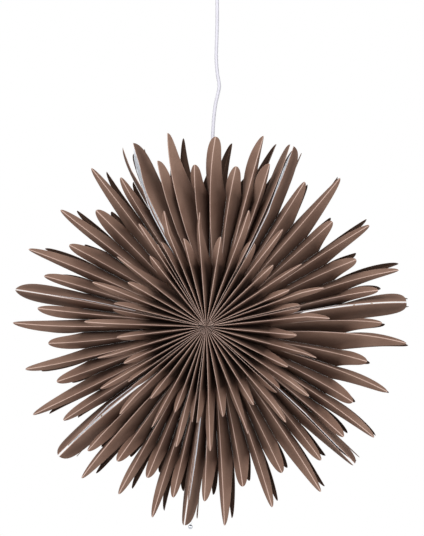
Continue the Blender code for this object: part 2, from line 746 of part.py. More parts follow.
def join_pieces(name, first, second):
    """Return the union of two overlapping meshes."""
    base = bpy.data.objects.new(name + "_base", first)
    cutter = bpy.data.objects.new(name + "_cutter", second)
    for thing in (base, cutter):
        bpy.context.scene.collection.objects.link(thing)
    union = base.modifiers.new("union", "BOOLEAN")
    union.operation = "UNION"
    union.solver = "EXACT"
    union.object = cutter
    shape = base.evaluated_get(bpy.context.evaluated_depsgraph_get())
    mesh = bpy.data.meshes.new_from_object(shape)
    bpy.data.objects.remove(base)
    bpy.data.objects.remove(cutter)
    return mesh


def ring_mesh(name, centre, radius, wire, spins, rounds):
    """Return a wire ring that stands in the XZ plane."""
    work = bmesh.new()
    rows = []
    for step in range(spins):
        angle = 2.0 * math.pi * step / spins
        out = Vector((math.cos(angle), 0.0, math.sin(angle)))
        row = []
        for part in range(rounds):
            around = 2.0 * math.pi * part / rounds
            reach = out * (radius + wire * math.cos(around))
            row.append(work.verts.new(Vector(centre) + reach + Vector((0.0, wire * math.sin(around), 0.0))))
        rows.append(row)
    for step in range(spins):
        for part in range(rounds):
            following = (part + 1) % rounds
            ahead = rows[(step + 1) % spins]
            work.faces.new((rows[step][part], rows[step][following], ahead[following], ahead[part]))
    return close_mesh(name, work)


def build_paper():
    """Add the seven fans of petals."""
    for index, letter in enumerate(FAN_NAMES):
        add_object("petals_" + letter, FanBuilder(index).build(), (0.27, 0.19, 0.155), 0.85)


def build_films():
    """Add the clear film of each seam and its two studs."""
    count = 0
    for index, letter in enumerate(FAN_NAMES):
        add_object("film_" + letter, build_film(index), (0.85, 0.88, 0.92), 0.15, clear=0.9)
        for radius in STUD_RADII:
            count += 1
            turn = film_turn(index, radius)
            half = 0.5 * FILM + STUD_GAP
            profile = (
                (0.0, -half - STUD_THICK), (STUD_FLANGE, -half - STUD_THICK), (STUD_FLANGE, -half),
                (STUD_BARREL, -half), (STUD_BARREL, half), (STUD_FLANGE, half),
                (STUD_FLANGE, half + STUD_THICK), (0.0, half + STUD_THICK))
            before = star_point(radius - STUD_FLANGE, film_turn(index, radius - STUD_FLANGE), 0.0)
            after = star_point(radius + STUD_FLANGE, film_turn(index, radius + STUD_FLANGE), 0.0)
            axis = (after - before).cross(Vector((0.0, 1.0, 0.0)))
            mesh = lathe("stud", profile, star_point(radius, turn, 0.0), SMALL_SPINS, axis)
            add_object(f"stud_{count:02d}", mesh, (0.72, 0.52, 0.22), 0.3, metal=1.0)


def build_ball():
    """Add the small ball and the loop that it hangs by."""
    hang = star_point(HANG_R, film_turn(HANG_FILM, HANG_R), 0.0)
    ring = ring_mesh("ring", hang - Vector((0.0, 0.0, LOOP_RADIUS)), LOOP_RADIUS, LOOP_WIRE, 18, 6)
    low = hang.z - 2.0 * LOOP_RADIUS
    tip = -LOOP_WIRE - LOOP_STEM
    stem = lathe("stem", ((0.0, tip), (LOOP_WIRE, tip), (LOOP_WIRE, 0.0), (0.0, 0.0)), (hang.x, 0.0, low), 8)
    add_object("ball_loop", join_pieces("ball_loop", ring, stem), (0.85, 0.88, 0.92), 0.1, clear=0.9)
    top = low - LOOP_WIRE - FIT_GAP
    middle = top - math.sqrt(BALL_RADIUS ** 2 - BALL_BORE ** 2)
    profile = [(0.0, -BALL_RADIUS)]
    for step in range(1, 9):
        angle = -0.5 * math.pi + step * (0.5 * math.pi + math.acos(BALL_BORE / BALL_RADIUS)) / 8
        profile.append((BALL_RADIUS * math.cos(angle), BALL_RADIUS * math.sin(angle)))
    floor = top - middle - BALL_BORE_DEPTH
    profile += [(BALL_BORE, floor), (0.0, floor)]
    add_object("ball", lathe("ball", profile, (hang.x, 0.0, middle)), (0.75, 0.75, 0.75), 0.08, metal=1.0)


def build_cable():
    """Add the cable, straight inside the star and kinked above it."""
    places = smooth_route(CABLE_ROUTE, CABLE_STEP)
    mesh = tube("cable", places, CABLE_RADIUS, (STAR_SHIFT, 0.0, -STAR_DROP))
    add_object("cable", mesh, (0.85, 0.85, 0.85), 0.4)


def build_holder():
    """Add the lamp holder that carries the star, from the spreader down."""
    centre = (STAR_SHIFT, 0.0, -STAR_DROP)
    top = SPREADER_Z + SPREADER_THICK
    spreader = (
        (SPREADER_HOLE, SPREADER_Z), (SPREADER_RADIUS, SPREADER_Z), (SPREADER_RADIUS, top),
        (SPREADER_HOLE, top))
    add_object("spreader", lathe("spreader", spreader, centre), (0.85, 0.88, 0.92), 0.2, clear=0.8)
    relief = (
        (0.0, RELIEF_BOTTOM), (RELIEF_WIDE, RELIEF_BOTTOM), (RELIEF_NARROW, RELIEF_TOP),
        (RELIEF_BORE, RELIEF_TOP),
        (RELIEF_BORE, RELIEF_FLOOR), (0.0, RELIEF_FLOOR))
    add_object("holder_relief", lathe("relief", relief, centre), (0.85, 0.85, 0.85), 0.35)
    inside = SHELL_RADIUS - SHELL_WALL
    shell = (
        (0.0, SHELL_TOP), (SHELL_RADIUS, SHELL_TOP), (SHELL_RADIUS, SHELL_BOTTOM), (inside, SHELL_BOTTOM),
        (inside, SHELL_TOP - SHELL_WALL), (0.0, SHELL_TOP - SHELL_WALL))
    add_object("holder_shell", lathe("shell", shell, centre), (0.85, 0.85, 0.85), 0.35)
    insert = (
        (0.0, INSERT_TOP), (INSERT_RADIUS, INSERT_TOP), (INSERT_RADIUS, INSERT_BOTTOM),
        (INSERT_BORE, INSERT_BOTTOM), (INSERT_BORE, INSERT_FLOOR), (0.0, INSERT_FLOOR))
    add_object("holder_insert", lathe("insert", insert, centre), (0.72, 0.52, 0.22), 0.35, metal=1.0)
    ring = (
        (RING_BORE, RING_BOTTOM), (RING_RADIUS, RING_BOTTOM), (RING_RADIUS, RING_TOP), (RING_BORE, RING_TOP))
    add_object("holder_ring", lathe("ring", ring, centre), (0.85, 0.85, 0.85), 0.35)


def build_bulb():
    """Add the bulb: glass, screw cap and foot contact."""
    centre = (STAR_SHIFT, 0.0, -STAR_DROP)
    add_object("bulb_glass", lathe("glass", GLASS_PROFILE, centre), (0.9, 0.9, 0.86), 0.25, clear=CLEAR_SHARE)
    cap = (
        (0.0, CAP_TOP), (CAP_NECK, CAP_TOP), (CAP_RADIUS, CAP_SHOULDER), (CAP_RADIUS, CAP_BOTTOM),
        (0.0, CAP_BOTTOM))
    add_object("bulb_cap", lathe("cap", cap, centre), (0.7, 0.7, 0.7), 0.3, metal=1.0)
    foot = CAP_TOP + FIT_GAP
    profile = ((0.0, foot), (CONTACT_RADIUS, foot), (CONTACT_RADIUS, CONTACT_TOP), (0.0, CONTACT_TOP))
    contact = lathe("contact", profile, centre, SMALL_SPINS)
    add_object("bulb_contact", contact, (0.6, 0.6, 0.6), 0.3, metal=1.0)


def build_plate():
    """Return the ceiling plate with its two screw holes."""
    def circle(x, radius, count):
        angles = [2.0 * math.pi * step / count for step in range(count)]
        return [(x + radius * math.cos(a), radius * math.sin(a)) for a in angles]
    loops = [circle(0.0, PLATE_RADIUS, 24)]
    loops += [circle(x, PLATE_SCREW, 10) for x in (PLATE_SCREW_X, -PLATE_SCREW_X)]
    work = bmesh.new()
    sides = [[work.verts.new((x, y, z)) for loop in loops for x, y in loop] for z in (0.0, -PLATE_THICK)]
    for corners in tessellate_polygon([[Vector((*point, 0.0)) for point in loop] for loop in loops]):
        for side in sides:
            work.faces.new([side[corner] for corner in corners])
    start = 0
    for loop in loops:
        for step in range(len(loop)):
            first = start + step
            second = start + (step + 1) % len(loop)
            work.faces.new((sides[0][first], sides[0][second], sides[1][second], sides[1][first]))
        start += len(loop)
    return close_mesh("plate", work)


def build_ceiling():
    """Add the ceiling plate, hook, terminal block, cup and cable outlet."""
    white = (0.85, 0.85, 0.85)
    add_object("ceiling_plate", build_plate(), (0.6, 0.6, 0.6), 0.3, metal=1.0)
    places = [Vector((x, 0.0, z)) for x, z in HOOK_ROUTE]
    add_object("ceiling_hook", tube("hook", places, HOOK_WIRE), (0.6, 0.6, 0.6), 0.3, metal=1.0)
    half = (0.5 * BLOCK_SIZE[0], 0.5 * BLOCK_SIZE[1])
    low = (-half[0], -half[1], BLOCK_TOP - BLOCK_SIZE[2])
    add_object("terminal_block", block("block", low, (half[0], half[1], BLOCK_TOP)), white, 0.4)
    cores = ((0.0, CORES_BOTTOM), (CORES_RADIUS, CORES_BOTTOM), (CORES_RADIUS, CORES_TOP), (0.0, CORES_TOP))
    add_object("cable_cores", lathe("cores", cores, (0.0, 0.0, 0.0), SMALL_SPINS), (0.35, 0.2, 0.1), 0.5)
    add_object("ceiling_cup", lathe("cup", CUP_OUTER + CUP_INNER, (0.0, 0.0, 0.0), 24), white, 0.35)
    add_object("cup_gland", lathe("gland", GLAND_PROFILE, (0.0, 0.0, 0.0), 16), white, 0.35)


def main():
    """Clear the scene and build every piece."""
    for thing in list(bpy.data.objects):
        bpy.data.objects.remove(thing)
    build_ceiling()
    build_cable()
    build_holder()
    build_bulb()
    build_paper()
    build_films()
    build_ball()


main()
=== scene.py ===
"""Dresses the hanging paper star: folded fans, films, rivets, cable, lamp and ceiling fitting."""
import logging
import math
from dataclasses import dataclass, replace
from enum import Enum

import bmesh
import bpy
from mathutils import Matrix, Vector


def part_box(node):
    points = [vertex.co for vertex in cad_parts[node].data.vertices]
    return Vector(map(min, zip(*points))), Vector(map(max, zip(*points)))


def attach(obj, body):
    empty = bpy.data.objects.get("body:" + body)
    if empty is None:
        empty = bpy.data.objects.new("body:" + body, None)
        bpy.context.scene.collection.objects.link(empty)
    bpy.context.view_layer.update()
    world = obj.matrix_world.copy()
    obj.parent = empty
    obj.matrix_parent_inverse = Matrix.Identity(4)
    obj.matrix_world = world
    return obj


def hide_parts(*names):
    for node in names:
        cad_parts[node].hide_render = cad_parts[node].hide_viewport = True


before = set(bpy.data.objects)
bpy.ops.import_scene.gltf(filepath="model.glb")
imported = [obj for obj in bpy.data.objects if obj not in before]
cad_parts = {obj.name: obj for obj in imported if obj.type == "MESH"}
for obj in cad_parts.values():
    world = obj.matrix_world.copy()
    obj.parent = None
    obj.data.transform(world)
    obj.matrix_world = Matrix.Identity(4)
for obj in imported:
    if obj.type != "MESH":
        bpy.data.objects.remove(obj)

LOG = logging.getLogger("paper_star")
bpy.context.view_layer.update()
WHOLE = 2.0 * math.pi
MM = 0.001
Pair = tuple[float, float]


class PetalKind(Enum):
    """The tubes of one fan, by the length and height of their petals."""

    SEAM = "seam"
    EDGE = "edge"
    NEAR = "near"
    LONG = "long"
    MID = "mid"
    SHORT = "short"
    CENTRE = "centre"


class Side(Enum):
    """The two faces of the star."""

    FRONT = 1
    BACK = -1


def linear(code: str) -> tuple[float, float, float, float]:
    """Turn an sRGB hex colour to linear.

    Args:
        code: The colour as six hex digits, with or without a hash sign.

    Returns:
        Red, green, blue and an alpha of 1.
    """
    digits = code.lstrip("#")
    shares = [int(digits[start:start + 2], 16) / 255.0 for start in (0, 2, 4)]
    made = [c / 12.92 if c <= 0.04045 else ((c + 0.055) / 1.055) ** 2.4 for c in shares]
    return made[0], made[1], made[2], 1.0


def add_node(tree: bpy.types.NodeTree, kind: str, settings: dict | None = None,
             inputs: dict | None = None) -> bpy.types.Node:
    """Add a node with its settings, values and links.

    Args:
        tree: The material's or modifier's node tree.
        kind: The node's type name.
        settings: Properties of the node.
        inputs: Input sockets by name or number, each with a value or the output that it is linked from.

    Returns:
        The new node.
    """
    node = tree.nodes.new(kind)
    for name, value in (settings or {}).items():
        setattr(node, name, value)
    for key, value in (inputs or {}).items():
        if isinstance(value, bpy.types.NodeSocket):
            tree.links.new(value, node.inputs[key])
        else:
            node.inputs[key].default_value = value
    return node


def start_material(name: str) -> tuple[bpy.types.Material, bpy.types.NodeTree, bpy.types.Node]:
    """Make a material and clear it down to its Principled shader.

    Args:
        name: The material's name.

    Returns:
        The material, its node tree and its shader node.
    """
    material = bpy.data.materials.new(name)
    material.use_nodes = True
    tree = material.node_tree
    return material, tree, tree.nodes["Principled BSDF"]


def fine_noise(tree: bpy.types.NodeTree, grain_mm: float, detail: float = 3.0) -> bpy.types.Node:
    """Add a noise on Object coordinates whose grain has a real size.

    Args:
        tree: The material's node tree.
        grain_mm: The grain's size in millimetres.
        detail: How many finer layers the noise has.

    Returns:
        The noise node.
    """
    place = add_node(tree, "ShaderNodeTexCoord")
    return add_node(tree, "ShaderNodeTexNoise", inputs={
        "Vector": place.outputs["Object"], "Scale": 1.0 / (grain_mm * MM), "Detail": detail,
        "Roughness": 0.55})


@dataclass(frozen=True)
class DyedPaper:
    """Through-dyed brown paper: matte, with a fine tooth; pale lines at creases and cut edges, partly the
    paper's real whitening and partly painted highlight, and painted shade in the valleys.
    """

    name: str = "dyed_paper"
    face: str = "#947869"
    deep: str = "#6F5246"
    # The crease colour, with crease_mm and cut_mm below, makes pale lines at folds and cut edges: partly the
    # paper's real whitening, partly painted highlight.
    crease: str = "#D8BBAE"
    tooth_mm: float = 1.1
    cloud_mm: float = 45.0
    # The next four fields paint shade into the valleys: the valley colour is mixed in far from both the
    # crease and the cut edge.
    valley: str = "#2E1D17"
    painted_shade_crease_reach_mm: float = 18.0
    painted_shade_strength: float = 0.88
    painted_shade_cut_reach_mm: float = 35.0
    crease_mm: float = 1.15
    cut_mm: float = 0.45
    roughness: float = 0.82

    def material(self) -> bpy.types.Material:
        """Return the paper's material; its UV map holds the distances to crease and cut edge in mm, which
        steer the painted valley shade and the pale lines.
        """
        material, tree, shader = start_material(self.name)
        tooth = fine_noise(tree, self.tooth_mm, 4.0)
        cloud = fine_noise(tree, self.cloud_mm, 2.0)
        blotch = add_node(tree, "ShaderNodeMapRange", inputs={
            "Value": cloud.outputs["Fac"], "From Min": 0.3, "From Max": 0.7, "To Min": 0.0, "To Max": 0.55})
        grain = add_node(tree, "ShaderNodeMapRange", inputs={
            "Value": tooth.outputs["Fac"], "From Min": 0.3, "From Max": 0.7, "To Min": -0.12, "To Max": 0.3})
        shade = add_node(tree, "ShaderNodeMath", {"operation": "ADD", "use_clamp": True}, {
            0: blotch.outputs["Result"], 1: grain.outputs["Result"]})
        base = add_node(tree, "ShaderNodeMix", {"data_type": "RGBA"}, {
            "Factor": shade.outputs[0], "A": linear(self.face), "B": linear(self.deep)})
        # Painted shade: away from the crease and the cut edge the paper turns towards the valley colour.
        marks = add_node(tree, "ShaderNodeUVMap", {"uv_map": "paper_mm"})
        split = add_node(tree, "ShaderNodeSeparateXYZ", inputs={0: marks.outputs["UV"]})
        painted_shade_depths = []
        for socket, reach in (("X", self.painted_shade_crease_reach_mm), ("Y", self.painted_shade_cut_reach_mm)):
            depth = add_node(tree, "ShaderNodeMapRange", {"interpolation_type": "SMOOTHSTEP"}, {
                "Value": split.outputs[socket], "From Min": 0.0, "From Max": reach,
                "To Min": 0.0, "To Max": 1.0})
            painted_shade_depths.append(depth.outputs["Result"])
        painted_shade_mask = add_node(tree, "ShaderNodeMath", {"operation": "MULTIPLY"}, {0: painted_shade_depths[0], 1: painted_shade_depths[1]})
        painted_shade_amount = add_node(tree, "ShaderNodeMath", {"operation": "MULTIPLY"}, {
            0: painted_shade_mask.outputs[0], 1: self.painted_shade_strength})
        shaded = add_node(tree, "ShaderNodeMix", {"data_type": "RGBA"}, {
            "Factor": painted_shade_amount.outputs[0], "A": base.outputs["Result"], "B": linear(self.valley)})
        # Pale lines at creases and cut edges: partly the paper's real whitening, partly painted highlight.
        pale_line_strengths = []
        for socket, reach, strength in (("X", self.crease_mm, 0.85), ("Y", self.cut_mm, 0.35)):
            line = add_node(tree, "ShaderNodeMapRange", {"interpolation_type": "SMOOTHSTEP"}, {
                "Value": split.outputs[socket], "From Min": 0.15 * reach, "From Max": reach,
                "To Min": strength, "To Max": 0.0})
            pale_line_strengths.append(line.outputs["Result"])
        whitening_and_highlight = add_node(tree, "ShaderNodeMath", {"operation": "MAXIMUM"}, {0: pale_line_strengths[0], 1: pale_line_strengths[1]})
        colour = add_node(tree, "ShaderNodeMix", {"data_type": "RGBA"}, {
            "Factor": whitening_and_highlight.outputs[0], "A": shaded.outputs["Result"], "B": linear(self.crease)})
        tree.links.new(colour.outputs["Result"], shader.inputs["Base Color"])
        bump = add_node(tree, "ShaderNodeBump", inputs={
            "Height": tooth.outputs["Fac"], "Strength": 0.25, "Distance": 0.05 * MM})
        tree.links.new(bump.outputs["Normal"], shader.inputs["Normal"])
        shader.inputs["Roughness"].default_value = self.roughness
        shader.inputs["Specular IOR Level"].default_value = 0.15
        return material


@dataclass(frozen=True)
class MilkyFilm:
    """Milky polyester film: thin enough to show what is behind it, with a faint blue haze and soft gloss."""

    colour: str = "#F1F5FB"
    haze_mm: float = 18.0
    roughness: float = 0.32
    cover: float = 0.74
    painted_glow: float = 0.3

    def material(self) -> bpy.types.Material:
        """Return the film's material, with a faint painted glow in place of the light that it scatters."""
        material, tree, shader = start_material("milky_film")
        haze = fine_noise(tree, self.haze_mm, 2.0)
        for socket, middle, spread in (("Roughness", self.roughness, 0.09), ("Alpha", self.cover, 0.06)):
            part = add_node(tree, "ShaderNodeMapRange", inputs={
                "Value": haze.outputs["Fac"], "From Min": 0.3, "From Max": 0.7,
                "To Min": middle - spread, "To Max": middle + spread})
            tree.links.new(part.outputs["Result"], shader.inputs[socket])
        shader.inputs["Base Color"].default_value = linear(self.colour)
        # Painted glow: the film emits a little light in its own colour, though it is no lamp.
        shader.inputs["Emission Color"].default_value = linear(self.colour)
        shader.inputs["Emission Strength"].default_value = self.painted_glow
        shader.inputs["IOR"].default_value = 1.4
        return material


@dataclass(frozen=True)
class Metal:
    """A plated or drawn metal with a fine cloudy finish, such as a rolled brass rivet or a chromed ball."""

    name: str
    colour: str
    roughness: float
    cloud_mm: float = 2.0
    spread: float = 0.06

    def material(self) -> bpy.types.Material:
        """Return the metal's material."""
        material, tree, shader = start_material(self.name)
        cloud = fine_noise(tree, self.cloud_mm, 3.0)
        rough = add_node(tree, "ShaderNodeMapRange", inputs={
            "Value": cloud.outputs["Fac"], "From Min": 0.3, "From Max": 0.7,
            "To Min": max(0.02, self.roughness - self.spread), "To Max": self.roughness + self.spread})
        tree.links.new(rough.outputs["Result"], shader.inputs["Roughness"])
        shader.inputs["Base Color"].default_value = linear(self.colour)
        shader.inputs["Metallic"].default_value = 1.0
        return material


@dataclass(frozen=True)
class Moulded:
    """Moulded or extruded plastic with a faint satin grain, such as a white cable jacket."""

    name: str
    colour: str
    roughness: float = 0.38
    grain_mm: float = 1.4
    bump: float = 0.12
    clearness: float = 0.0

    def material(self) -> bpy.types.Material:
        """Return the plastic's material."""
        material, tree, shader = start_material(self.name)
        grain = fine_noise(tree, self.grain_mm, 3.0)
        rough = add_node(tree, "ShaderNodeMapRange", inputs={
            "Value": grain.outputs["Fac"], "From Min": 0.3, "From Max": 0.7,
            "To Min": self.roughness - 0.06, "To Max": self.roughness + 0.06})
        bump = add_node(tree, "ShaderNodeBump", inputs={
            "Height": grain.outputs["Fac"], "Strength": self.bump, "Distance": 0.04 * MM})
        tree.links.new(rough.outputs["Result"], shader.inputs["Roughness"])
        tree.links.new(bump.outputs["Normal"], shader.inputs["Normal"])
        shader.inputs["Base Color"].default_value = linear(self.colour)
        shader.inputs["Transmission Weight"].default_value = self.clearness
        shader.inputs["IOR"].default_value = 1.46
        return material


def add_piece(name: str, mesh: bpy.types.Mesh, material: bpy.types.Material, body: str,
              nodes: tuple[str, ...] = (), sharp_deg: float = 40.0) -> bpy.types.Object:
    """Link a finished mesh, give it a material and let it ride on its body.

    Args:
        name: The piece's name.
        mesh: Its mesh, in the row frame.
        material: Its finish.
        body: The body that it moves with.
        nodes: CAD nodes that it replaces.
        sharp_deg: Edges that bend by more than this stay sharp.

    Returns:
        The new object.
    """
    if len(mesh.materials) < 2:
        mesh.materials.clear()
        mesh.materials.append(material)
    mesh.polygons.foreach_set("use_smooth", [True] * len(mesh.polygons))
    mesh.set_sharp_from_angle(angle=math.radians(sharp_deg))
    piece = bpy.data.objects.new(name, mesh)
    bpy.context.scene.collection.objects.link(piece)
    if nodes:
        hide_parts(*nodes)
    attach(piece, body)
    LOG.info("%s: %d faces", name, len(mesh.polygons))
    return piece


def thicken(mesh: bpy.types.Mesh, thickness: float, inside: int = 0) -> bpy.types.Mesh:
    """Give an open sheet its thickness, inwards from its faces, and return it as a plain mesh.

    Args:
        mesh: The sheet.
        thickness: How thick it gets, in metres.
        inside: How many material slots the inner side moves on.

    Returns:
        The closed mesh.
    """
    holder = bpy.data.objects.new("sheet", mesh)
    bpy.context.scene.collection.objects.link(holder)
    shell = holder.modifiers.new("thickness", "SOLIDIFY")
    shell.thickness = thickness
    shell.offset = -1.0
    shell.material_offset = inside
    made = bpy.data.meshes.new_from_object(holder.evaluated_get(bpy.context.evaluated_depsgraph_get()))
    bpy.data.objects.remove(holder)
    return made


@dataclass
class Grid:
    """Rows of vertices with their marks, gathered into one mesh."""

    def __post_init__(self) -> None:
        """Start an empty mesh with a UV layer for the marks."""
        self.work = bmesh.new()
        self.layer = self.work.loops.layers.uv.new("paper_mm")
        self.marks: dict[bmesh.types.BMVert, Pair] = {}
        self.known: dict[tuple[int, ...], bmesh.types.BMVert] = {}

    def vertex(self, place: Vector, marks: Pair) -> bmesh.types.BMVert:
        """Return the vertex at a place, with its distances to the crease and the cut edge in mm."""
        key = tuple(round(part * 1e5) for part in place)
        if key not in self.known:
            self.known[key] = self.work.verts.new(place)
            self.marks[self.known[key]] = marks
        return self.known[key]

    def face(self, corners: list[bmesh.types.BMVert], outwards: Vector) -> None:
        """Add a face that looks outwards.

        Args:
            corners: Its vertices in order.
            outwards: A direction that its normal must not turn away from.
        """
        corners = list(dict.fromkeys(corners))
        if len(corners) < 3 or self.work.faces.get(corners):
            return
        face = self.work.faces.new(corners)
        face.normal_update()
        if face.normal.dot(outwards) < 0.0:
            face.normal_flip()
        for loop in face.loops:
            loop[self.layer].uv = self.marks[loop.vert]

    def mesh(self, name: str) -> bpy.types.Mesh:
        """Return the mesh."""
        mesh = bpy.data.meshes.new(name)
        self.work.to_mesh(mesh)
        self.work.free()
        return mesh


def chord_turn(radius: float, near: Pair, far: Pair) -> float:
    """Return the turn at a radius on the straight line between two (radius, turn) points."""
    if radius <= near[0]:
        return near[1]
    if radius >= far[0]:
        return far[1]
    lean = near[0] * (far[0] - radius) / ((far[0] - near[0]) * radius)
    return far[1] + (near[1] - far[1]) * lean


def between(rows: list[Pair], place: float) -> float:
    """Return the value at a place among rows of falling (place, value), joined by straight lines."""
    for first, second in zip(rows, rows[1:]):
        if place >= second[0]:
            part = (first[0] - place) / (first[0] - second[0])
            return first[1] + (second[1] - first[1]) * min(1.0, max(0.0, part))
    return rows[-1][1]


@dataclass
class StarForm:
    """Sizes that the fans and films share: places of the folds, heights and tips."""

    drop: float = 0.559
    shift: float = -0.008
    outer_height: float = 0.055
    inner_height: float = 0.070
    notch: float = 0.2
    cavity: float = 0.050
    cavity_height: float = 0.045
    low_start: float = 0.030
    core: float = 0.012
    core_dip: float = 0.0235
    dip_rate: float = 0.5
    core_point: float = 0.0008
    cable_way: float = 0.0039
    lean_full: float = 0.150
    lean_end: float = 0.300
    seam_clear: float = 0.0002
    top_fan: int = 1
    starts: tuple[float, ...] = (0.4683, 0.3117, 0.1767, 0.0164, -0.1211, -0.2714, -0.3928)
    spans: tuple[float, ...] = (0.1475, 0.1283, 0.1542, 0.1336, 0.1447, 0.1097, 0.1356)
    ridges: tuple[tuple[float, ...], ...] = (
        (0.099, 0.221, 0.347, 0.505, 0.646, 0.794, 0.916),
        (0.148, 0.227, 0.427, 0.546, 0.736, 0.840, 0.925),
        (0.132, 0.280, 0.425, 0.574, 0.729, 0.852, 0.950),
        (0.127, 0.221, 0.402, 0.540, 0.717, 0.817, 0.938),
        (0.120, 0.224, 0.374, 0.511, 0.660, 0.796, 0.910),
        (0.092, 0.216, 0.351, 0.516, 0.660, 0.816, 0.903),
        (0.114, 0.245, 0.393, 0.528, 0.696, 0.814, 0.920))
    leans: tuple[tuple[float, ...], ...] = (
        (-0.0069, -0.0047, -0.0076, 0.0007, -0.0047, 0.0010, 0.0142),
        (0.0167, 0.0236, 0.0203, 0.0202, 0.0132, -0.0063, -0.0111),
        (-0.0111, -0.0023, -0.0044, 0.0044, 0.0108, 0.0165, 0.0133),
        (0.0153, 0.0228, 0.0108, 0.0146, 0.0139, 0.0093, 0.0056),
        (0.0031, 0.0097, 0.0021, 0.0056, 0.0063, -0.0001, 0.0),
        (-0.0014, -0.0016, -0.0036, -0.0016, -0.0034, -0.0119, -0.0122),
        (-0.0094, 0.0012, 0.0021, 0.0101, 0.0138, 0.0053, -0.0014))
    back_turns: tuple[float, ...] = (-0.0033, -0.0067, 0.0097, -0.0033, -0.0014, 0.0014, 0.0033)
    lean_shares: tuple[float, ...] = (0.3, 1.0, 0.35, 0.3, 0.3, 0.3, 0.3)
    closing_shares: tuple[float, ...] = (0.9, 0.6, 0.9, 0.6, 0.9, 0.9, 0.9)
    closed_until: tuple[float, ...] = (0.225, 0.3, 0.3, 0.3, 0.3, 0.3, 0.3)
    opening: float = 0.04
    seam_shares: tuple[float, ...] = (1.0, 0.85, 1.0, 0.66, 0.66, 0.66, 1.0)

    def point(self, radius: float, turn: float, height: float) -> Vector:
        """Return a point of the star in the row frame; height counts towards the front."""
        return Vector((radius * math.cos(turn) + self.shift, -height, radius * math.sin(turn) - self.drop))

    def lean_part(self, radius: float, height: float) -> float:
        """Return how much of its fan's lean a point takes."""
        outwards = min(1.0, max(0.0, (self.lean_end - radius) / (self.lean_end - self.lean_full)))
        return outwards * min(1.0, height / self.inner_height)

    def low_height(self, radius: float, tip: float) -> float:
        """Return a low ridge's height at a radius."""
        return self.outer_height * (radius - self.low_start) / (tip - self.low_start)

    def dip(self, radius: float) -> float:
        """Return how deep the valleys between the tall ridges are at a radius."""
        return max(self.core_dip * min(1.0, radius / self.core), self.dip_rate * radius)

    def seam_turn(self, index: int, radius: float, height: float, share: float) -> float:
        """Return the turn of the seam after a fan, a share of the way on to the next fan.

        Args:
            index: The fan's number.
            radius: The distance from the star's axis.
            height: The height in front of the middle plane.
            share: 0 at the fan, 1 at the next one.

        Returns:
            The turn in radians.
        """
        index %= len(self.starts)
        after = (index + 1) % len(self.starts)
        part = self.lean_part(radius, height) * WHOLE
        end = (self.starts[index] - self.spans[index]) * WHOLE + part * self.leans[index][-1]
        start = self.starts[after] * WHOLE - (WHOLE if after == 0 else 0.0) + part * self.leans[after][0]
        return end + share * (start - end)


@dataclass(frozen=True)
class Lobe:
    """The free end of one kind of petal: its tip, half width, bluntness and lean.

    A lobe that leans shows more of the wall that looks at the middle of its fan.
    """

    tip: float
    half: float
    blunt: float
    lean: float = 0.0
    shallow: float = 0.25
    deep_blunt: float = 0.0


LOW_LOBES = {
    PetalKind.SEAM: Lobe(0.2999, 0.0125, 5.0, 0.0, 0.72, 7.0),
    PetalKind.EDGE: Lobe(0.2616, 0.0092, 2.8, 0.0062),
    PetalKind.LONG: Lobe(0.2984, 0.0084, 2.4, 0.0064),
    PetalKind.SHORT: Lobe(0.2448, 0.0096, 3.6),
    PetalKind.CENTRE: Lobe(0.2861, 0.0086, 2.6)}
TOP_CENTRE = Lobe(0.2861, 0.0110, 8.0)
TALL_LOBES = {
    PetalKind.SEAM: Lobe(0.1438, 0.0080, 3.0, 0.0, 0.3),
    PetalKind.NEAR: Lobe(0.1851, 0.0062, 4.0, -0.0025, 0.2),
    PetalKind.MID: Lobe(0.1362, 0.0072, 2.0, 0.0036, 0.2),
    PetalKind.CENTRE: Lobe(0.1714, 0.0040, 3.0, 0.0, 0.2)}
LOW_HALF = (PetalKind.SEAM, PetalKind.EDGE, PetalKind.LONG, PetalKind.SHORT)
LOW_ORDER = (*LOW_HALF, PetalKind.CENTRE, *reversed(LOW_HALF))
TALL_HALF = (PetalKind.SEAM, PetalKind.NEAR, PetalKind.MID)
TALL_ORDER = (*TALL_HALF, PetalKind.CENTRE, *reversed(TALL_HALF))


@dataclass
class Section:
    """One cross-section of a petal's wall."""

    radius: float
    fold: float
    depth: float
    width: float
    slope: float = 0.0


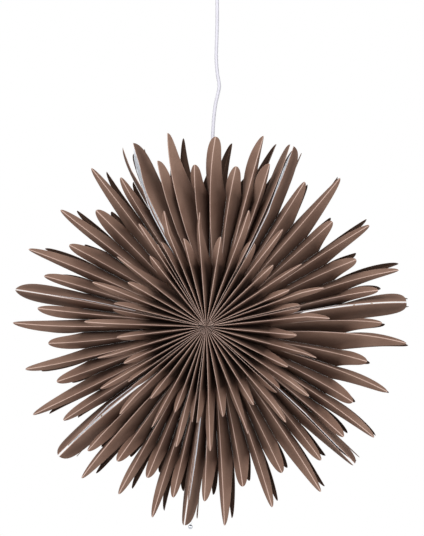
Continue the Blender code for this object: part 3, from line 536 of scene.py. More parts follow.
@dataclass
class PaperFan:
    """One fan between two seams: a low layer of petals, and a tall one whose ridges meet in the middle."""

    form: StarForm
    index: int
    paper: float = 0.00026
    glue_gap: float = 0.00003
    swell: float = 0.12
    fold_half: float = 0.00042
    fold_depth: float = 0.0009
    valley_bias: float = 0.11
    back_share: float = 0.62
    back_seam_share: float = 0.4
    back_blunt: float = 2.6
    low_shade: float = 0.017
    tall_notch: float = 0.092
    inner_rows: int = 9
    lobe_rows: int = 16
    columns: tuple[float, ...] = (0.0, 0.2, 0.4, 0.6, 0.8, 0.92)
    fold_parts: Pair = (1.0, 0.33)
    fold_limit: float = 0.05
    fold_width_share: float = 0.3
    slope_step: float = 0.01
    facing: float = 0.25

    def __post_init__(self) -> None:
        """Work out where every fold and glued line of the fan lies."""
        form = self.form
        self.start = form.starts[self.index] * WHOLE
        self.span = form.spans[self.index] * WHOLE
        outer = [self.start - share * self.span for share in form.ridges[self.index]]
        self.tall = [
            self.start, 0.5 * (outer[0] + outer[1]), 0.5 * (outer[1] + outer[2]), outer[3],
            0.5 * (outer[4] + outer[5]), 0.5 * (outer[5] + outer[6]), self.start - self.span]
        self.leans = [(turn, share * WHOLE) for turn, share in zip(self.tall, form.leans[self.index])]
        back = form.back_turns[self.index] * WHOLE
        self.backs = [(self.tall[0], 0.0), (self.tall[2], back), (self.tall[4], back), (self.tall[6], 0.0)]
        self.low_ends = [self.tall[0], *outer, self.tall[6]]
        places = (0, 1, 3, 5, 6, 7, 9, 11, 12)
        self.low_starts = [0.5 * (self.tall[k // 2] + self.tall[(k + 1) // 2]) for k in places]
        self.valleys = self.valley_paths()

    def low_turn(self, place: int, radius: float) -> float:
        """Return a low ridge's turn at a radius, before its fan leans."""
        tip = LOW_LOBES[LOW_ORDER[place]].tip
        return chord_turn(radius, (self.form.cavity, self.low_starts[place]), (tip, self.low_ends[place]))

    def valley_paths(self) -> list[tuple[Pair, Pair]]:
        """Return each glued line, nearer to the ridge on the fan's middle, and clear of the cable."""
        form = self.form
        made = []
        for radius in (form.cavity, form.notch):
            line = []
            for place in range(8):
                share = 0.5 + (self.valley_bias if place < 4 else -self.valley_bias)
                near, far = self.low_turn(place, radius), self.low_turn(place + 1, radius)
                line.append(near * (1.0 - share) + far * share)
            if self.index == form.top_fan:
                clear = math.asin(form.cable_way / radius)
                line[3] = max(line[3], 0.5 * math.pi + clear)
                line[4] = min(line[4], 0.5 * math.pi - clear)
                if radius == form.cavity:
                    self.low_starts[3] = 0.5 * (line[3] + self.tall[2])
                    self.low_starts[5] = 0.5 * (line[4] + self.tall[4])
            made.append(line)
        return [((form.cavity, start), (form.notch, end)) for start, end in zip(*made)]

    def spot(self, radius: float, turn: float, height: float, side: Side) -> Vector:
        """Return the place of a point of the low layer once its fan leans.

        Args:
            radius: The distance from the star's axis.
            turn: The turn before the lean, in radians.
            height: The distance from the middle plane.
            side: The face of the star that it is on.

        Returns:
            The place in the row frame.
        """
        leant = turn + self.form.lean_part(radius, height) * between(self.leans, turn)
        if side is Side.BACK:
            leant += between(self.backs, turn) * height / self.form.outer_height
        return self.form.point(radius, leant, side.value * height)

    def closing(self, place: int, radius: float, height: float) -> float:
        """Return how far a fan's first or last leaf turns over its seam, so that the folds nearly meet."""
        form = self.form
        seam = self.index if place else (self.index - 1) % len(form.starts)
        width = (form.seam_turn(seam, radius, form.outer_height, 1.0)
                 - form.seam_turn(seam, radius, form.outer_height, 0.0))
        part = min(1.0, max(0.0, (form.closed_until[seam] + form.opening - radius) / form.opening))
        rise = min(1.0, height / form.low_height(radius, LOW_LOBES[PetalKind.SEAM].tip)) ** 3
        room = max(0.0, 0.5 * abs(width) - math.asin(form.cable_way / 10.0 / radius))
        return (-1.0 if place else 1.0) * form.closing_shares[seam] * part * rise * room

    def tall_turn(self, place: int, radius: float, side: Side) -> float:
        """Return a tall ridge's turn at a radius, with its fan's lean.

        Args:
            place: The ridge's place in the fan.
            radius: The distance from the star's axis.
            side: The face of the star.

        Returns:
            The turn in radians, kept off the next fan near the axis.
        """
        form = self.form
        turn = self.tall[place] + form.lean_part(radius, form.inner_height) * self.leans[place][1]
        if side is Side.BACK:
            turn += between(self.backs, self.tall[place]) * form.inner_height / form.outer_height
        if place not in (0, 6):
            return turn
        middle = form.seam_turn(self.index if place else self.index - 1, radius, form.inner_height, 0.5)
        gap = (turn - middle + math.pi) % WHOLE - math.pi
        least = math.asin(form.seam_clear / radius)
        if place and gap < least:
            turn += least - gap
        if not place and gap > -least:
            turn -= gap + least
        return turn

    def profile(self, lobe: Lobe, half: float, notch: float, step: float) -> tuple[float, float]:
        """Return how deep and how wide a lobe's wall is, a step of the way from its notch to its tip.

        Args:
            lobe: The lobe's shape.
            half: The wall's width past the notch.
            notch: The wall's width at the notch.
            step: The share of the way.

        Returns:
            The free edge's depth as a share of the depth at the notch, and the wall's width.
        """
        left = 1.0 - step
        fall = math.sqrt(1.0 - step ** lobe.deep_blunt) if lobe.deep_blunt else math.sqrt(left)
        shallow = lobe.shallow * fall
        width = (half + (notch - half) * left ** 1.6) * math.sqrt(max(0.0, 1.0 - step ** lobe.blunt))
        return shallow + (1.0 - lobe.shallow) * left ** 3, width

    def lobe(self, kind: PetalKind, side: Side, tall: bool) -> Lobe:
        """Return a petal's free end: blunt on the top fan's middle, folded closely at the back."""
        lobe = (TALL_LOBES if tall else LOW_LOBES)[kind]
        if kind is PetalKind.CENTRE and self.index == self.form.top_fan and not tall:
            lobe = TOP_CENTRE
        if side is Side.FRONT or tall:
            return replace(lobe, lean=self.form.lean_shares[self.index] * lobe.lean)
        if kind is PetalKind.SEAM:
            return replace(lobe, half=self.back_seam_share * lobe.half, blunt=self.back_blunt)
        share = self.back_share
        blunt = min(self.back_blunt, lobe.blunt)
        return replace(lobe, half=share * lobe.half, lean=share * lobe.lean, blunt=blunt)

    def lobe_sections(self, lobe: Lobe, notch: float, width: float, fold: float | None,
                      inwards: int) -> list[Section]:
        """Return the cross-sections of one wall of a lobe.

        Args:
            lobe: The lobe's shape.
            notch: The radius at which it starts.
            width: The wall's width there.
            fold: The fold's height, or None for a low ridge that rises to its tip.
            inwards: 1 for the wall that looks at the fan's middle, -1 for the other, 0 for both alike.

        Returns:
            The sections, going outwards.
        """
        form = self.form
        rows = []
        full = fold - form.dip(notch) if fold else 0.0
        target = lobe.half + inwards * lobe.lean
        for step in range(1, self.lobe_rows + 1):
            share = math.sin(0.5 * math.pi * step / self.lobe_rows) if step < self.lobe_rows else 1.0
            radius = notch + share * (lobe.tip - notch)
            top = fold if fold else form.low_height(radius, lobe.tip)
            whole = top - full
            deep, half = self.profile(lobe, target, width, share)
            ahead = self.profile(lobe, target, width, max(0.0, share - self.slope_step))[0]
            slope = whole * (ahead - deep) / (self.slope_step * (lobe.tip - notch))
            rows.append(Section(radius, top, whole * deep, half, slope))
        return rows

    def low_sections(self, place: int, valley: int, side: Side) -> list[Section]:
        """Return the cross-sections of a low petal's wall, from the hollow out to its tip."""
        form = self.form
        lobe = self.lobe(LOW_ORDER[place], side, False)
        if place in (0, 8):
            part = form.seam_shares[self.index if place else (self.index - 1) % len(form.starts)]
            lobe = replace(lobe, half=part * lobe.half, blunt=max(self.back_blunt, part ** 2.0 * lobe.blunt))
        near, far = self.valleys[valley]
        rows = []
        for step in range(self.inner_rows + 1):
            radius = form.cavity + (form.notch - form.cavity) * step / self.inner_rows
            half = abs(chord_turn(radius, near, far) - self.low_turn(place, radius)) * radius - self.glue_gap
            height = form.low_height(radius, lobe.tip)
            rows.append(Section(radius, height, height, half))
        inwards = 1 if (valley < 4) == (valley == place) else -1
        return rows + self.lobe_sections(lobe, form.notch, rows[-1].width, None, inwards if place != 4 else 0)

    def tall_sections(self, place: int, other: int, side: Side) -> list[Section]:
        """Return the cross-sections of a tall pleat's wall, from the core out to its tip."""
        form = self.form
        rows = []
        for step in range(self.inner_rows + 3):
            radius = form.core + (self.tall_notch - form.core) * step / (self.inner_rows + 2)
            apart = abs(self.tall_turn(place, radius, side) - self.tall_turn(other, radius, side))
            half = 0.5 * apart * radius
            rows.append(Section(radius, form.inner_height, form.dip(radius), half))
        lobe = self.lobe(TALL_ORDER[place], side, True)
        inwards = 1 if abs(other - 3) < abs(place - 3) else -1
        inwards = inwards if place != 3 else 0
        return rows + self.lobe_sections(lobe, self.tall_notch, rows[-1].width, form.inner_height, inwards)

    def shares(self, depth: float) -> list[float]:
        """Return the shares of a wall's height at which it has points, closer over the fold."""
        made = list(self.columns)
        for part in self.fold_parts:
            made.append(1.0 - part * min(self.fold_limit, self.fold_depth / max(depth, self.fold_depth)))
        return [*made, 1.0]

    def wall(self, grid: Grid, place: int, towards: int, side: Side, tall: bool) -> None:
        """Add one wall of a petal, from its fold to its foot or its free edge.

        Args:
            grid: Where the wall is added.
            place: The petal's place in its layer.
            towards: 1 for the wall on the side of growing turns, or -1.
            side: The face of the star.
            tall: Whether it is in the tall layer.
        """
        form = self.form
        if tall:
            sections = self.tall_sections(place, place - towards, side)
        else:
            sections = self.low_sections(place, place - 1 if towards > 0 else place, side)
        rows = []
        for section in sections:
            row = []
            fold = min(self.fold_half, self.fold_width_share * section.width)
            for share in self.shares(section.depth):
                down = 1.0 - share
                out = 0.0
                if section.depth:
                    out = fold * math.sqrt(min(1.0, down * section.depth / self.fold_depth))
                out += (section.width - fold) * (down + self.swell * down * share)
                height = section.fold - section.depth * down
                turn = towards * out / section.radius
                if tall:
                    turn += self.tall_turn(place, section.radius, side)
                    spot = form.point(section.radius, turn, side.value * height)
                else:
                    if place in (0, 8) and side is Side.FRONT:
                        turn += self.closing(place, section.radius, height)
                    ridge = self.low_turn(place, section.radius)
                    spot = self.spot(section.radius, ridge + turn, height, side)
                # The crease and cut marks steer the paper's painted valley shade and its pale lines; the cut
                # mark is capped at low_shade on the low layer, so its wide valleys get less painted shade.
                crease = math.hypot(section.depth * down, out) / MM
                cut = share * math.hypot(section.width, section.depth) / math.hypot(1.0, section.slope) ** 0.5
                cut += max(0.0, (self.tall_notch if tall else form.notch) - section.radius)
                row.append(grid.vertex(spot, (crease, min(cut, 1.0 if tall else self.low_shade) / MM)))
            rows.append(row)
        along = self.tall_turn(place, form.cavity, side) if tall else self.low_turn(min(place, 8), form.notch)
        outwards = towards * Vector((-math.sin(along), 0.0, math.cos(along)))
        outwards.y = -self.facing * side.value
        for inner, outer in zip(rows, rows[1:]):
            for column in range(len(inner) - 1):
                grid.face([inner[column], outer[column], outer[column + 1], inner[column + 1]], outwards)

    def add_core(self, grid: Grid, side: Side) -> None:
        """Add the pleated middle where the fan's tall ridges run together."""
        form = self.form
        # The marks put the pale crease line on the core's ridges and painted shade in its valleys.
        top = []
        for radius in (form.core, 0.0085, 0.0055, 0.003, form.core_point):
            row = []
            dip = form.dip(radius)
            turns = [self.tall_turn(place, radius, side) for place in range(len(TALL_ORDER))]
            for place, turn in enumerate(turns):
                half = min(self.fold_half / radius, 0.3 * abs(turns[0] - turns[1]) / 2.0)
                for off in (half, -half):
                    if 0 < place < len(turns) - 1 or (off > 0.0) == (place > 0):
                        spot = form.point(radius, turn + off, side.value * form.inner_height)
                        row.append(grid.vertex(spot, (0.0, 99.0)))
                if place < len(turns) - 1:
                    middle = 0.5 * (turn + turns[place + 1])
                    spot = form.point(radius, middle, side.value * (form.inner_height - dip))
                    row.append(grid.vertex(spot, (dip / MM, 99.0)))
            top.append(row)
        low = []
        for vertex in top[0]:
            spot = vertex.co.copy()
            spot.y = -side.value * form.cavity_height
            low.append(grid.vertex(spot, (9.0, 99.0)))
        middle = 0.5 * (self.tall_turn(0, form.core, side) + self.tall_turn(6, form.core, side))
        point = grid.vertex(form.point(form.core_point, middle, side.value * form.cavity_height), (9.0, 99.0))
        up = Vector((0.0, -side.value, 0.0))
        along = Vector((math.cos(middle), 0.0, math.sin(middle)))
        for inner, outer in zip(top[1:], top):
            for step in range(len(outer) - 1):
                grid.face([outer[step], outer[step + 1], inner[step + 1], inner[step]], up)
        for step in range(len(low) - 1):
            grid.face([top[0][step], top[0][step + 1], low[step + 1], low[step]], along)
            grid.face([low[step], low[step + 1], point], -up)
            grid.face([top[-1][step], top[-1][step + 1], point], -along)
        for edge in (0, -1):
            away = top[0][edge].co - top[0][len(top[0]) // 2].co
            grid.face([*(row[edge] for row in top), point, low[edge]], away)

    def build(self, material: bpy.types.Material, inside: bpy.types.Material,
              letter: str) -> bpy.types.Object:
        """Return the finished fan.

        Args:
            material: The paper's outer side.
            inside: The paper's inner side, inside the petals: a darker copy of the paper, as painted shade.
            letter: The CAD node's letter.

        Returns:
            The fan as one piece.
        """
        walls = Grid()
        for side in Side:
            for order, tall in ((LOW_ORDER, False), (TALL_ORDER, True)):
                for place in range(len(order)):
                    if place:
                        self.wall(walls, place, 1, side, tall)
                    if place < len(order) - 1:
                        self.wall(walls, place, -1, side, tall)
        sheet = walls.mesh("walls")
        sheet.materials.append(material)
        sheet.materials.append(inside)
        mesh = thicken(sheet, self.paper, 1)
        core = Grid()
        for side in Side:
            self.add_core(core, side)
        whole = bmesh.new()
        whole.from_mesh(mesh)
        whole.from_mesh(core.mesh("core"))
        whole.to_mesh(mesh)
        whole.free()
        return add_piece(f"paper_fan_{letter}", mesh, material, "star", (f"petals_{letter}",))


@dataclass
class SeamFilm:
    """The clear film in the seam after a fan, led along an end leaf, whose wall it meets in places."""

    form: StarForm
    index: int
    thickness: float = 0.00022
    gap: float = 0.0005
    paper: float = 0.0005
    flat_from: float = 0.195
    end: float = 0.3003
    end_half: float = 0.0016
    rows: int = 36
    columns: int = 8
    outline: tuple[Pair, ...] = (
        (0.118, 0.022), (0.1438, 0.030), (0.1558, 0.0324), (0.195, 0.040), (0.260, 0.046), (0.280, 0.034),
        (0.294, 0.012))
    places: tuple[float, ...] = (0.5, 0.4, 0.5, 0.5, 0.35, 0.5, 0.5)
    seats: tuple[int, ...] = (0, 1, 0, 0, 0, 1, 1)

    def half(self, radius: float) -> float:
        """Return half the film's width at a radius."""
        rows = [(self.end, self.end_half), *reversed(self.outline)]
        return between(rows, radius)

    def turn(self, radius: float) -> float:
        """Return the film's turn at a radius: along the leaf at first, then one flat sheet."""
        form = self.form
        if radius > self.flat_from:
            near = (self.flat_from, self.turn(self.flat_from))
            far = form.seam_turn(self.index, self.end, 0.0, self.places[self.index])
            return chord_turn(radius, near, (self.end, far))
        side = self.seats[self.index]
        height = min(self.half(radius), form.low_height(radius, LOW_LOBES[PetalKind.SEAM].tip))
        fold = form.seam_turn(self.index, radius, height, side)
        after = (self.index + side) % len(form.starts)
        near, far = PaperFan(form, after).valleys[0 if side else -1]
        foot = chord_turn(radius, near, far)
        if self.index + side == len(form.starts):
            foot -= WHOLE
        clear = self.gap / radius
        if side:
            return max(fold, foot + self.paper / radius) + clear
        return min(fold, foot - self.paper / radius) - clear

    def build(self, material: bpy.types.Material, letter: str) -> bpy.types.Object:
        """Return the film, in place of its CAD node."""
        grid = Grid()
        rows = []
        for step in range(self.rows + 1):
            share = step / self.rows
            radius = self.outline[0][0] + (self.end - self.outline[0][0]) * (1.0 - (1.0 - share) ** 1.5)
            turn = self.turn(radius)
            half = self.half(radius)
            rows.append([grid.vertex(
                self.form.point(radius, turn, half * (2.0 * k / self.columns - 1.0)), (9.0, 9.0))
                for k in range(self.columns + 1)])
        way = self.turn(0.25)
        across = Vector((-math.sin(way), 0.0, math.cos(way)))
        for inner, outer in zip(rows, rows[1:]):
            for k in range(self.columns):
                grid.face([inner[k], outer[k], outer[k + 1], inner[k + 1]], across)
        mesh = grid.mesh("film")
        for vertex in mesh.vertices:
            vertex.co += across * 0.5 * self.thickness
        return add_piece(f"seam_film_{letter}", thicken(mesh, self.thickness), material, "star",
                         (f"film_{letter}",))


@dataclass
class SeamRivets:
    """Small hollow brass rivets through the films, set by a node tree on points along the seams."""

    form: StarForm
    radii: Pair = (0.2195, 0.246)
    head_radius: float = 0.00175
    head_height: float = 0.0009
    barrel_radius: float = 0.0009
    spread: float = 0.0007

    def tree(self, material: bpy.types.Material) -> bpy.types.NodeTree:
        """Return the node tree that puts a rivet on every point, along the point's axis."""
        tree = bpy.data.node_groups.new("rivets", "GeometryNodeTree")
        face = tree.interface
        face.new_socket("Points", in_out="INPUT", socket_type="NodeSocketGeometry")
        for name in ("Head radius", "Head height", "Barrel radius", "Head distance"):
            face.new_socket(name, in_out="INPUT", socket_type="NodeSocketFloat")
        face.new_socket("Rivets", in_out="OUTPUT", socket_type="NodeSocketGeometry")
        given = add_node(tree, "NodeGroupInput").outputs
        head = add_node(tree, "GeometryNodeMeshUVSphere", inputs={"Segments": 20, "Rings": 10, "Radius": 1.0})
        size = add_node(tree, "ShaderNodeCombineXYZ", inputs={
            "X": given["Head radius"], "Y": given["Head radius"], "Z": given["Head height"]})
        heads = []
        for sign in (1.0, -1.0):
            shift = add_node(
                tree, "ShaderNodeMath", {"operation": "MULTIPLY"}, {0: given["Head distance"], 1: sign})
            place = add_node(tree, "ShaderNodeCombineXYZ", inputs={"Z": shift.outputs[0]})
            moved = add_node(tree, "GeometryNodeTransform", inputs={
                "Geometry": head.outputs["Mesh"], "Translation": place.outputs[0], "Scale": size.outputs[0]})
            heads.append(moved.outputs["Geometry"])
        long = add_node(
            tree, "ShaderNodeMath", {"operation": "MULTIPLY"}, {0: given["Head distance"], 1: 2.0})
        barrel = add_node(tree, "GeometryNodeMeshCylinder", inputs={
            "Vertices": 16, "Radius": given["Barrel radius"], "Depth": long.outputs[0]})
        whole = add_node(tree, "GeometryNodeJoinGeometry")
        for part in (*heads, barrel.outputs["Mesh"]):
            tree.links.new(part, whole.inputs["Geometry"])
        axis = add_node(
            tree, "GeometryNodeInputNamedAttribute", {"data_type": "FLOAT_VECTOR"}, {"Name": "axis"})
        turned = add_node(tree, "FunctionNodeAlignRotationToVector", {"axis": "Z"}, {
            "Vector": axis.outputs["Attribute"]})
        placed = add_node(tree, "GeometryNodeInstanceOnPoints", inputs={
            "Points": given["Points"], "Instance": whole.outputs["Geometry"], "Rotation": turned.outputs[0]})
        real = add_node(
            tree, "GeometryNodeRealizeInstances", inputs={"Geometry": placed.outputs["Instances"]})
        dressed = add_node(tree, "GeometryNodeSetMaterial", inputs={
            "Geometry": real.outputs["Geometry"], "Material": material})
        add_node(tree, "NodeGroupOutput", inputs={0: dressed.outputs["Geometry"]})
        return tree

    def build(self, material: bpy.types.Material) -> bpy.types.Object:
        """Return all rivets as one piece."""
        places = []
        axes = []
        for index in range(len(self.form.starts)):
            film = SeamFilm(self.form, index)
            for radius in self.radii:
                before = self.form.point(radius - MM, film.turn(radius - MM), 0.0)
                after = self.form.point(radius + MM, film.turn(radius + MM), 0.0)
                places.append(self.form.point(radius, film.turn(radius), 0.0))
                axes.append((after - before).cross(Vector((0.0, 1.0, 0.0))).normalized())
        points = bpy.data.meshes.new("rivet_points")
        points.from_pydata(places, [], [])
        axis = points.attributes.new("axis", "FLOAT_VECTOR", "POINT")
        axis.data.foreach_set("vector", [part for way in axes for part in way])
        holder = bpy.data.objects.new("rivet_points", points)
        bpy.context.scene.collection.objects.link(holder)
        modifier = holder.modifiers.new("rivets", "NODES")
        modifier.node_group = self.tree(material)
        values = {"Head radius": self.head_radius, "Head height": self.head_height,
                  "Barrel radius": self.barrel_radius, "Head distance": self.spread}
        made = realise(holder, modifier, values)
        nodes = tuple(f"stud_{count:02d}" for count in range(1, 15))
        return add_piece("seam_rivets", made, material, "star", nodes)


def realise(holder: bpy.types.Object, modifier: bpy.types.Modifier,
            values: dict[str, float]) -> bpy.types.Mesh:
    """Set a node tree's inputs by their identifiers and return what it makes as a plain mesh.

    Args:
        holder: The object that carries the modifier; it is removed.
        modifier: The Geometry Nodes modifier.
        values: The inputs by name.

    Returns:
        The mesh.
    """
    for item in modifier.node_group.interface.items_tree:
        if item.item_type == "SOCKET" and item.name in values:
            modifier[item.identifier] = values[item.name]
    made = bpy.data.meshes.new_from_object(holder.evaluated_get(bpy.context.evaluated_depsgraph_get()))
    bpy.data.objects.remove(holder)
    return made


def lathe(profile: list[Pair] | tuple[Pair, ...], centre: Vector, spins: int = 64) -> bpy.types.Mesh:
    """Turn a profile of (radius, height) about a vertical axis.

    Args:
        profile: The outline, which ends on the axis or closes to a ring.
        centre: The axis's place.
        spins: How many steps go round.

    Returns:
        The closed mesh.
    """
    work = bmesh.new()
    rows = []
    for radius, height in profile:
        base = centre + Vector((0.0, 0.0, height))
        if radius == 0.0:
            rows.append([work.verts.new(base)])
            continue
        turns = [WHOLE * step / spins for step in range(spins)]
        rows.append([work.verts.new(base + radius * Vector((math.cos(a), math.sin(a), 0.0))) for a in turns])
    pairs = list(zip(rows, rows[1:]))
    if len(rows[0]) > 1:
        pairs.append((rows[-1], rows[0]))
    for first, second in pairs:
        for step in range(spins):
            after = (step + 1) % spins
            corners = [first[step % len(first)], first[after % len(first)],
                       second[after % len(second)], second[step % len(second)]]
            work.faces.new(list(dict.fromkeys(corners)))
    bmesh.ops.recalc_face_normals(work, faces=work.faces)
    mesh = bpy.data.meshes.new("turned")
    work.to_mesh(mesh)
    work.free()
    return mesh


def rounded(points: tuple[Pair, ...], radius: float, steps: int = 4) -> list[Pair]:
    """Round the inner corners of an open outline.

    Args:
        points: The outline's corners.
        radius: How far from each corner the rounding starts, at most half of a side.
        steps: How many points each rounding has.

    Returns:
        The outline with its corners rounded.
    """
    made = [points[0]]
    for before, corner, after in zip(points, points[1:], points[2:]):
        ways = []
        for other in (before, after):
            away = (other[0] - corner[0], other[1] - corner[1])
            size = math.hypot(*away)
            reach = min(radius, 0.45 * size)
            ways.append((corner[0] + away[0] / size * reach, corner[1] + away[1] / size * reach))
        for step in range(steps + 1):
            t = step / steps
            made.append(tuple(
                (1 - t) ** 2 * ways[0][k] + 2 * t * (1 - t) * corner[k] + t ** 2 * ways[1][k]
                for k in (0, 1)))
    made.append(points[-1])
    return made


def wire(name: str, places: list[Vector], radius: float, rounds: int = 6) -> bpy.types.Mesh:
    """Return a round wire along a row of points, as a closed mesh."""
    curve = bpy.data.curves.new(name, "CURVE")
    curve.dimensions = "3D"
    curve.bevel_depth = radius
    curve.bevel_resolution = rounds
    curve.use_fill_caps = True
    line = curve.splines.new("POLY")
    line.points.add(len(places) - 1)
    for point, place in zip(line.points, places):
        point.co = (*place, 1.0)
    holder = bpy.data.objects.new(name, curve)
    bpy.context.scene.collection.objects.link(holder)
    mesh = bpy.data.meshes.new_from_object(holder.evaluated_get(bpy.context.evaluated_depsgraph_get()))
    bpy.data.objects.remove(holder)
    return mesh


def smooth_route(points: list[Vector], step: float) -> list[Vector]:
    """Return evenly spaced points on a smooth curve through the route's own points."""
    padded = [2 * points[0] - points[1], *points, 2 * points[-1] - points[-2]]
    made = [points[0]]
    for before, start, end, after in zip(padded, padded[1:], padded[2:], padded[3:]):
        pieces = max(1, round((end - start).length / step))
        for piece in range(1, pieces + 1):
            t = piece / pieces
            made.append(0.5 * (
                2 * start + (end - before) * t + (2 * before - 5 * start + 4 * end - after) * t ** 2
                + (3 * start - before - 3 * end + after) * t ** 3))
    return made


def join_meshes(name: str, meshes: list[bpy.types.Mesh]) -> bpy.types.Mesh:
    """Return several meshes as one."""
    work = bmesh.new()
    for mesh in meshes:
        work.from_mesh(mesh)
    made = bpy.data.meshes.new(name)
    work.to_mesh(made)
    work.free()
    return made


@dataclass
class HangingBall:
    """A small chromed ball on a clear loop, under the lowest film."""

    form: StarForm
    film: int = 4
    hang_radius: float = 0.2983
    loop_radius: float = 0.0026
    loop_wire: float = 0.00035
    stem: float = 0.0031
    ball_radius: float = 0.0036
    bore: float = 0.00065
    gap: float = 0.0003

    def build(self, chrome: bpy.types.Material, clear: bpy.types.Material) -> None:
        """Add the ball and its loop."""
        film = SeamFilm(self.form, self.film)
        hang = self.form.point(self.hang_radius, film.turn(self.hang_radius), 0.0)
        centre = hang - Vector((0.0, 0.0, self.loop_radius))
        turns = [WHOLE * step / 40 - 0.5 * math.pi for step in range(41)]
        ring = [centre + self.loop_radius * Vector((math.cos(a), 0.0, math.sin(a))) for a in turns]
        low = ring[0] - Vector((0.0, 0.0, self.loop_wire + self.stem))
        loop = join_meshes("loop", [
            wire("ring", ring, self.loop_wire), wire("stem", [low, ring[0]], self.loop_wire)])
        add_piece("ball_thread", loop, clear, "ball", ("ball_loop",))
        top = ring[0].z - self.loop_wire - self.gap
        middle = Vector((hang.x, 0.0, top - math.sqrt(self.ball_radius ** 2 - self.bore ** 2)))
        lip = math.acos(self.bore / self.ball_radius)
        angles = [-0.5 * math.pi + (lip + 0.5 * math.pi) * step / 24 for step in range(25)]
        profile = [(self.ball_radius * math.cos(a) if k else 0.0, self.ball_radius * math.sin(a))
                   for k, a in enumerate(angles)]
        profile += [(self.bore, 0.0003), (0.0, 0.0003)]
        add_piece("chrome_ball", lathe(profile, middle, 48), chrome, "ball", ("ball",), 60.0)


@dataclass
class HangingCable:
    """Round white two-core cable from the ceiling outlet down into the lamp holder."""

    form: StarForm
    diameter: float = 0.0054
    step: float = 0.006
    route: tuple[Pair, ...] = (
        (0.0, 0.0366), (0.0, 0.200), (0.0, 0.262), (0.0009, 0.286), (0.0022, 0.312), (0.0047, 0.336),
        (0.0080, 0.352), (0.0112, 0.366), (0.0108, 0.374), (0.0086, 0.386), (0.0070, 0.402), (0.0066, 0.418),
        (0.0074, 0.444), (0.0080, 0.470), (0.0080, 0.500), (0.0080, 0.515))

    def build(self, material: bpy.types.Material) -> None:
        places = [Vector((x + self.form.shift, 0.0, z - self.form.drop)) for x, z in reversed(self.route)]
        line = smooth_route(places, self.step)
        curve = bpy.data.curves.new("cable_line", "CURVE")
        curve.dimensions = "3D"
        curve.bevel_depth = 0.5 * self.diameter
        curve.bevel_resolution = 7
        curve.use_fill_caps = True
        spline = curve.splines.new("POLY")
        spline.points.add(len(line) - 1)
        for point, place in zip(spline.points, line):
            point.co = (*place, 1.0)
        spline.use_smooth = True
        curve.materials.append(material)
        cable = bpy.data.objects.new("white_cable", curve)
        bpy.context.scene.collection.objects.link(cable)
        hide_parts("cable")
        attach(cable, "cable")


@dataclass
class RingOfRibs:
    """Upright ribs round a cylinder, set by a node tree, such as the grip of a clamping ring."""

    radius: float
    count: int
    size: tuple[float, float, float]

    def build(self, centre: Vector, material: bpy.types.Material) -> bpy.types.Mesh:
        """Return the ribs as a plain mesh.

        Args:
            centre: The middle of the ring of ribs.
            material: Their finish.

        Returns:
            The mesh.
        """
        tree = bpy.data.node_groups.new("ribs", "GeometryNodeTree")
        face = tree.interface
        face.new_socket("Start", in_out="INPUT", socket_type="NodeSocketGeometry")
        for name in ("Ring radius", "Rib width", "Rib depth", "Rib height"):
            face.new_socket(name, in_out="INPUT", socket_type="NodeSocketFloat")
        face.new_socket("Count", in_out="INPUT", socket_type="NodeSocketInt")
        face.new_socket("Ribs", in_out="OUTPUT", socket_type="NodeSocketGeometry")
        given = add_node(tree, "NodeGroupInput").outputs
        ring = add_node(tree, "GeometryNodeMeshCircle", inputs={
            "Vertices": given["Count"], "Radius": given["Ring radius"]})
        size = add_node(tree, "ShaderNodeCombineXYZ", inputs={
            "X": given["Rib depth"], "Y": given["Rib width"], "Z": given["Rib height"]})
        rib = add_node(tree, "GeometryNodeMeshCube", inputs={"Size": size.outputs[0]})
        place = add_node(tree, "GeometryNodeInputPosition")
        turned = add_node(tree, "FunctionNodeAlignRotationToVector", {"axis": "X"}, {
            "Vector": place.outputs[0]})
        placed = add_node(tree, "GeometryNodeInstanceOnPoints", inputs={
            "Points": ring.outputs["Mesh"], "Instance": rib.outputs["Mesh"], "Rotation": turned.outputs[0]})
        real = add_node(
            tree, "GeometryNodeRealizeInstances", inputs={"Geometry": placed.outputs["Instances"]})
        dressed = add_node(tree, "GeometryNodeSetMaterial", inputs={
            "Geometry": real.outputs["Geometry"], "Material": material})
        add_node(tree, "NodeGroupOutput", inputs={0: dressed.outputs["Geometry"]})
        holder = bpy.data.objects.new("ribs", bpy.data.meshes.new("ribs"))
        bpy.context.scene.collection.objects.link(holder)
        modifier = holder.modifiers.new("ribs", "NODES")
        modifier.node_group = tree
        made = realise(holder, modifier, {
            "Ring radius": self.radius, "Rib width": self.size[1], "Rib depth": self.size[0],
            "Rib height": self.size[2], "Count": self.count})
        for vertex in made.vertices:
            vertex.co += centre
        return made


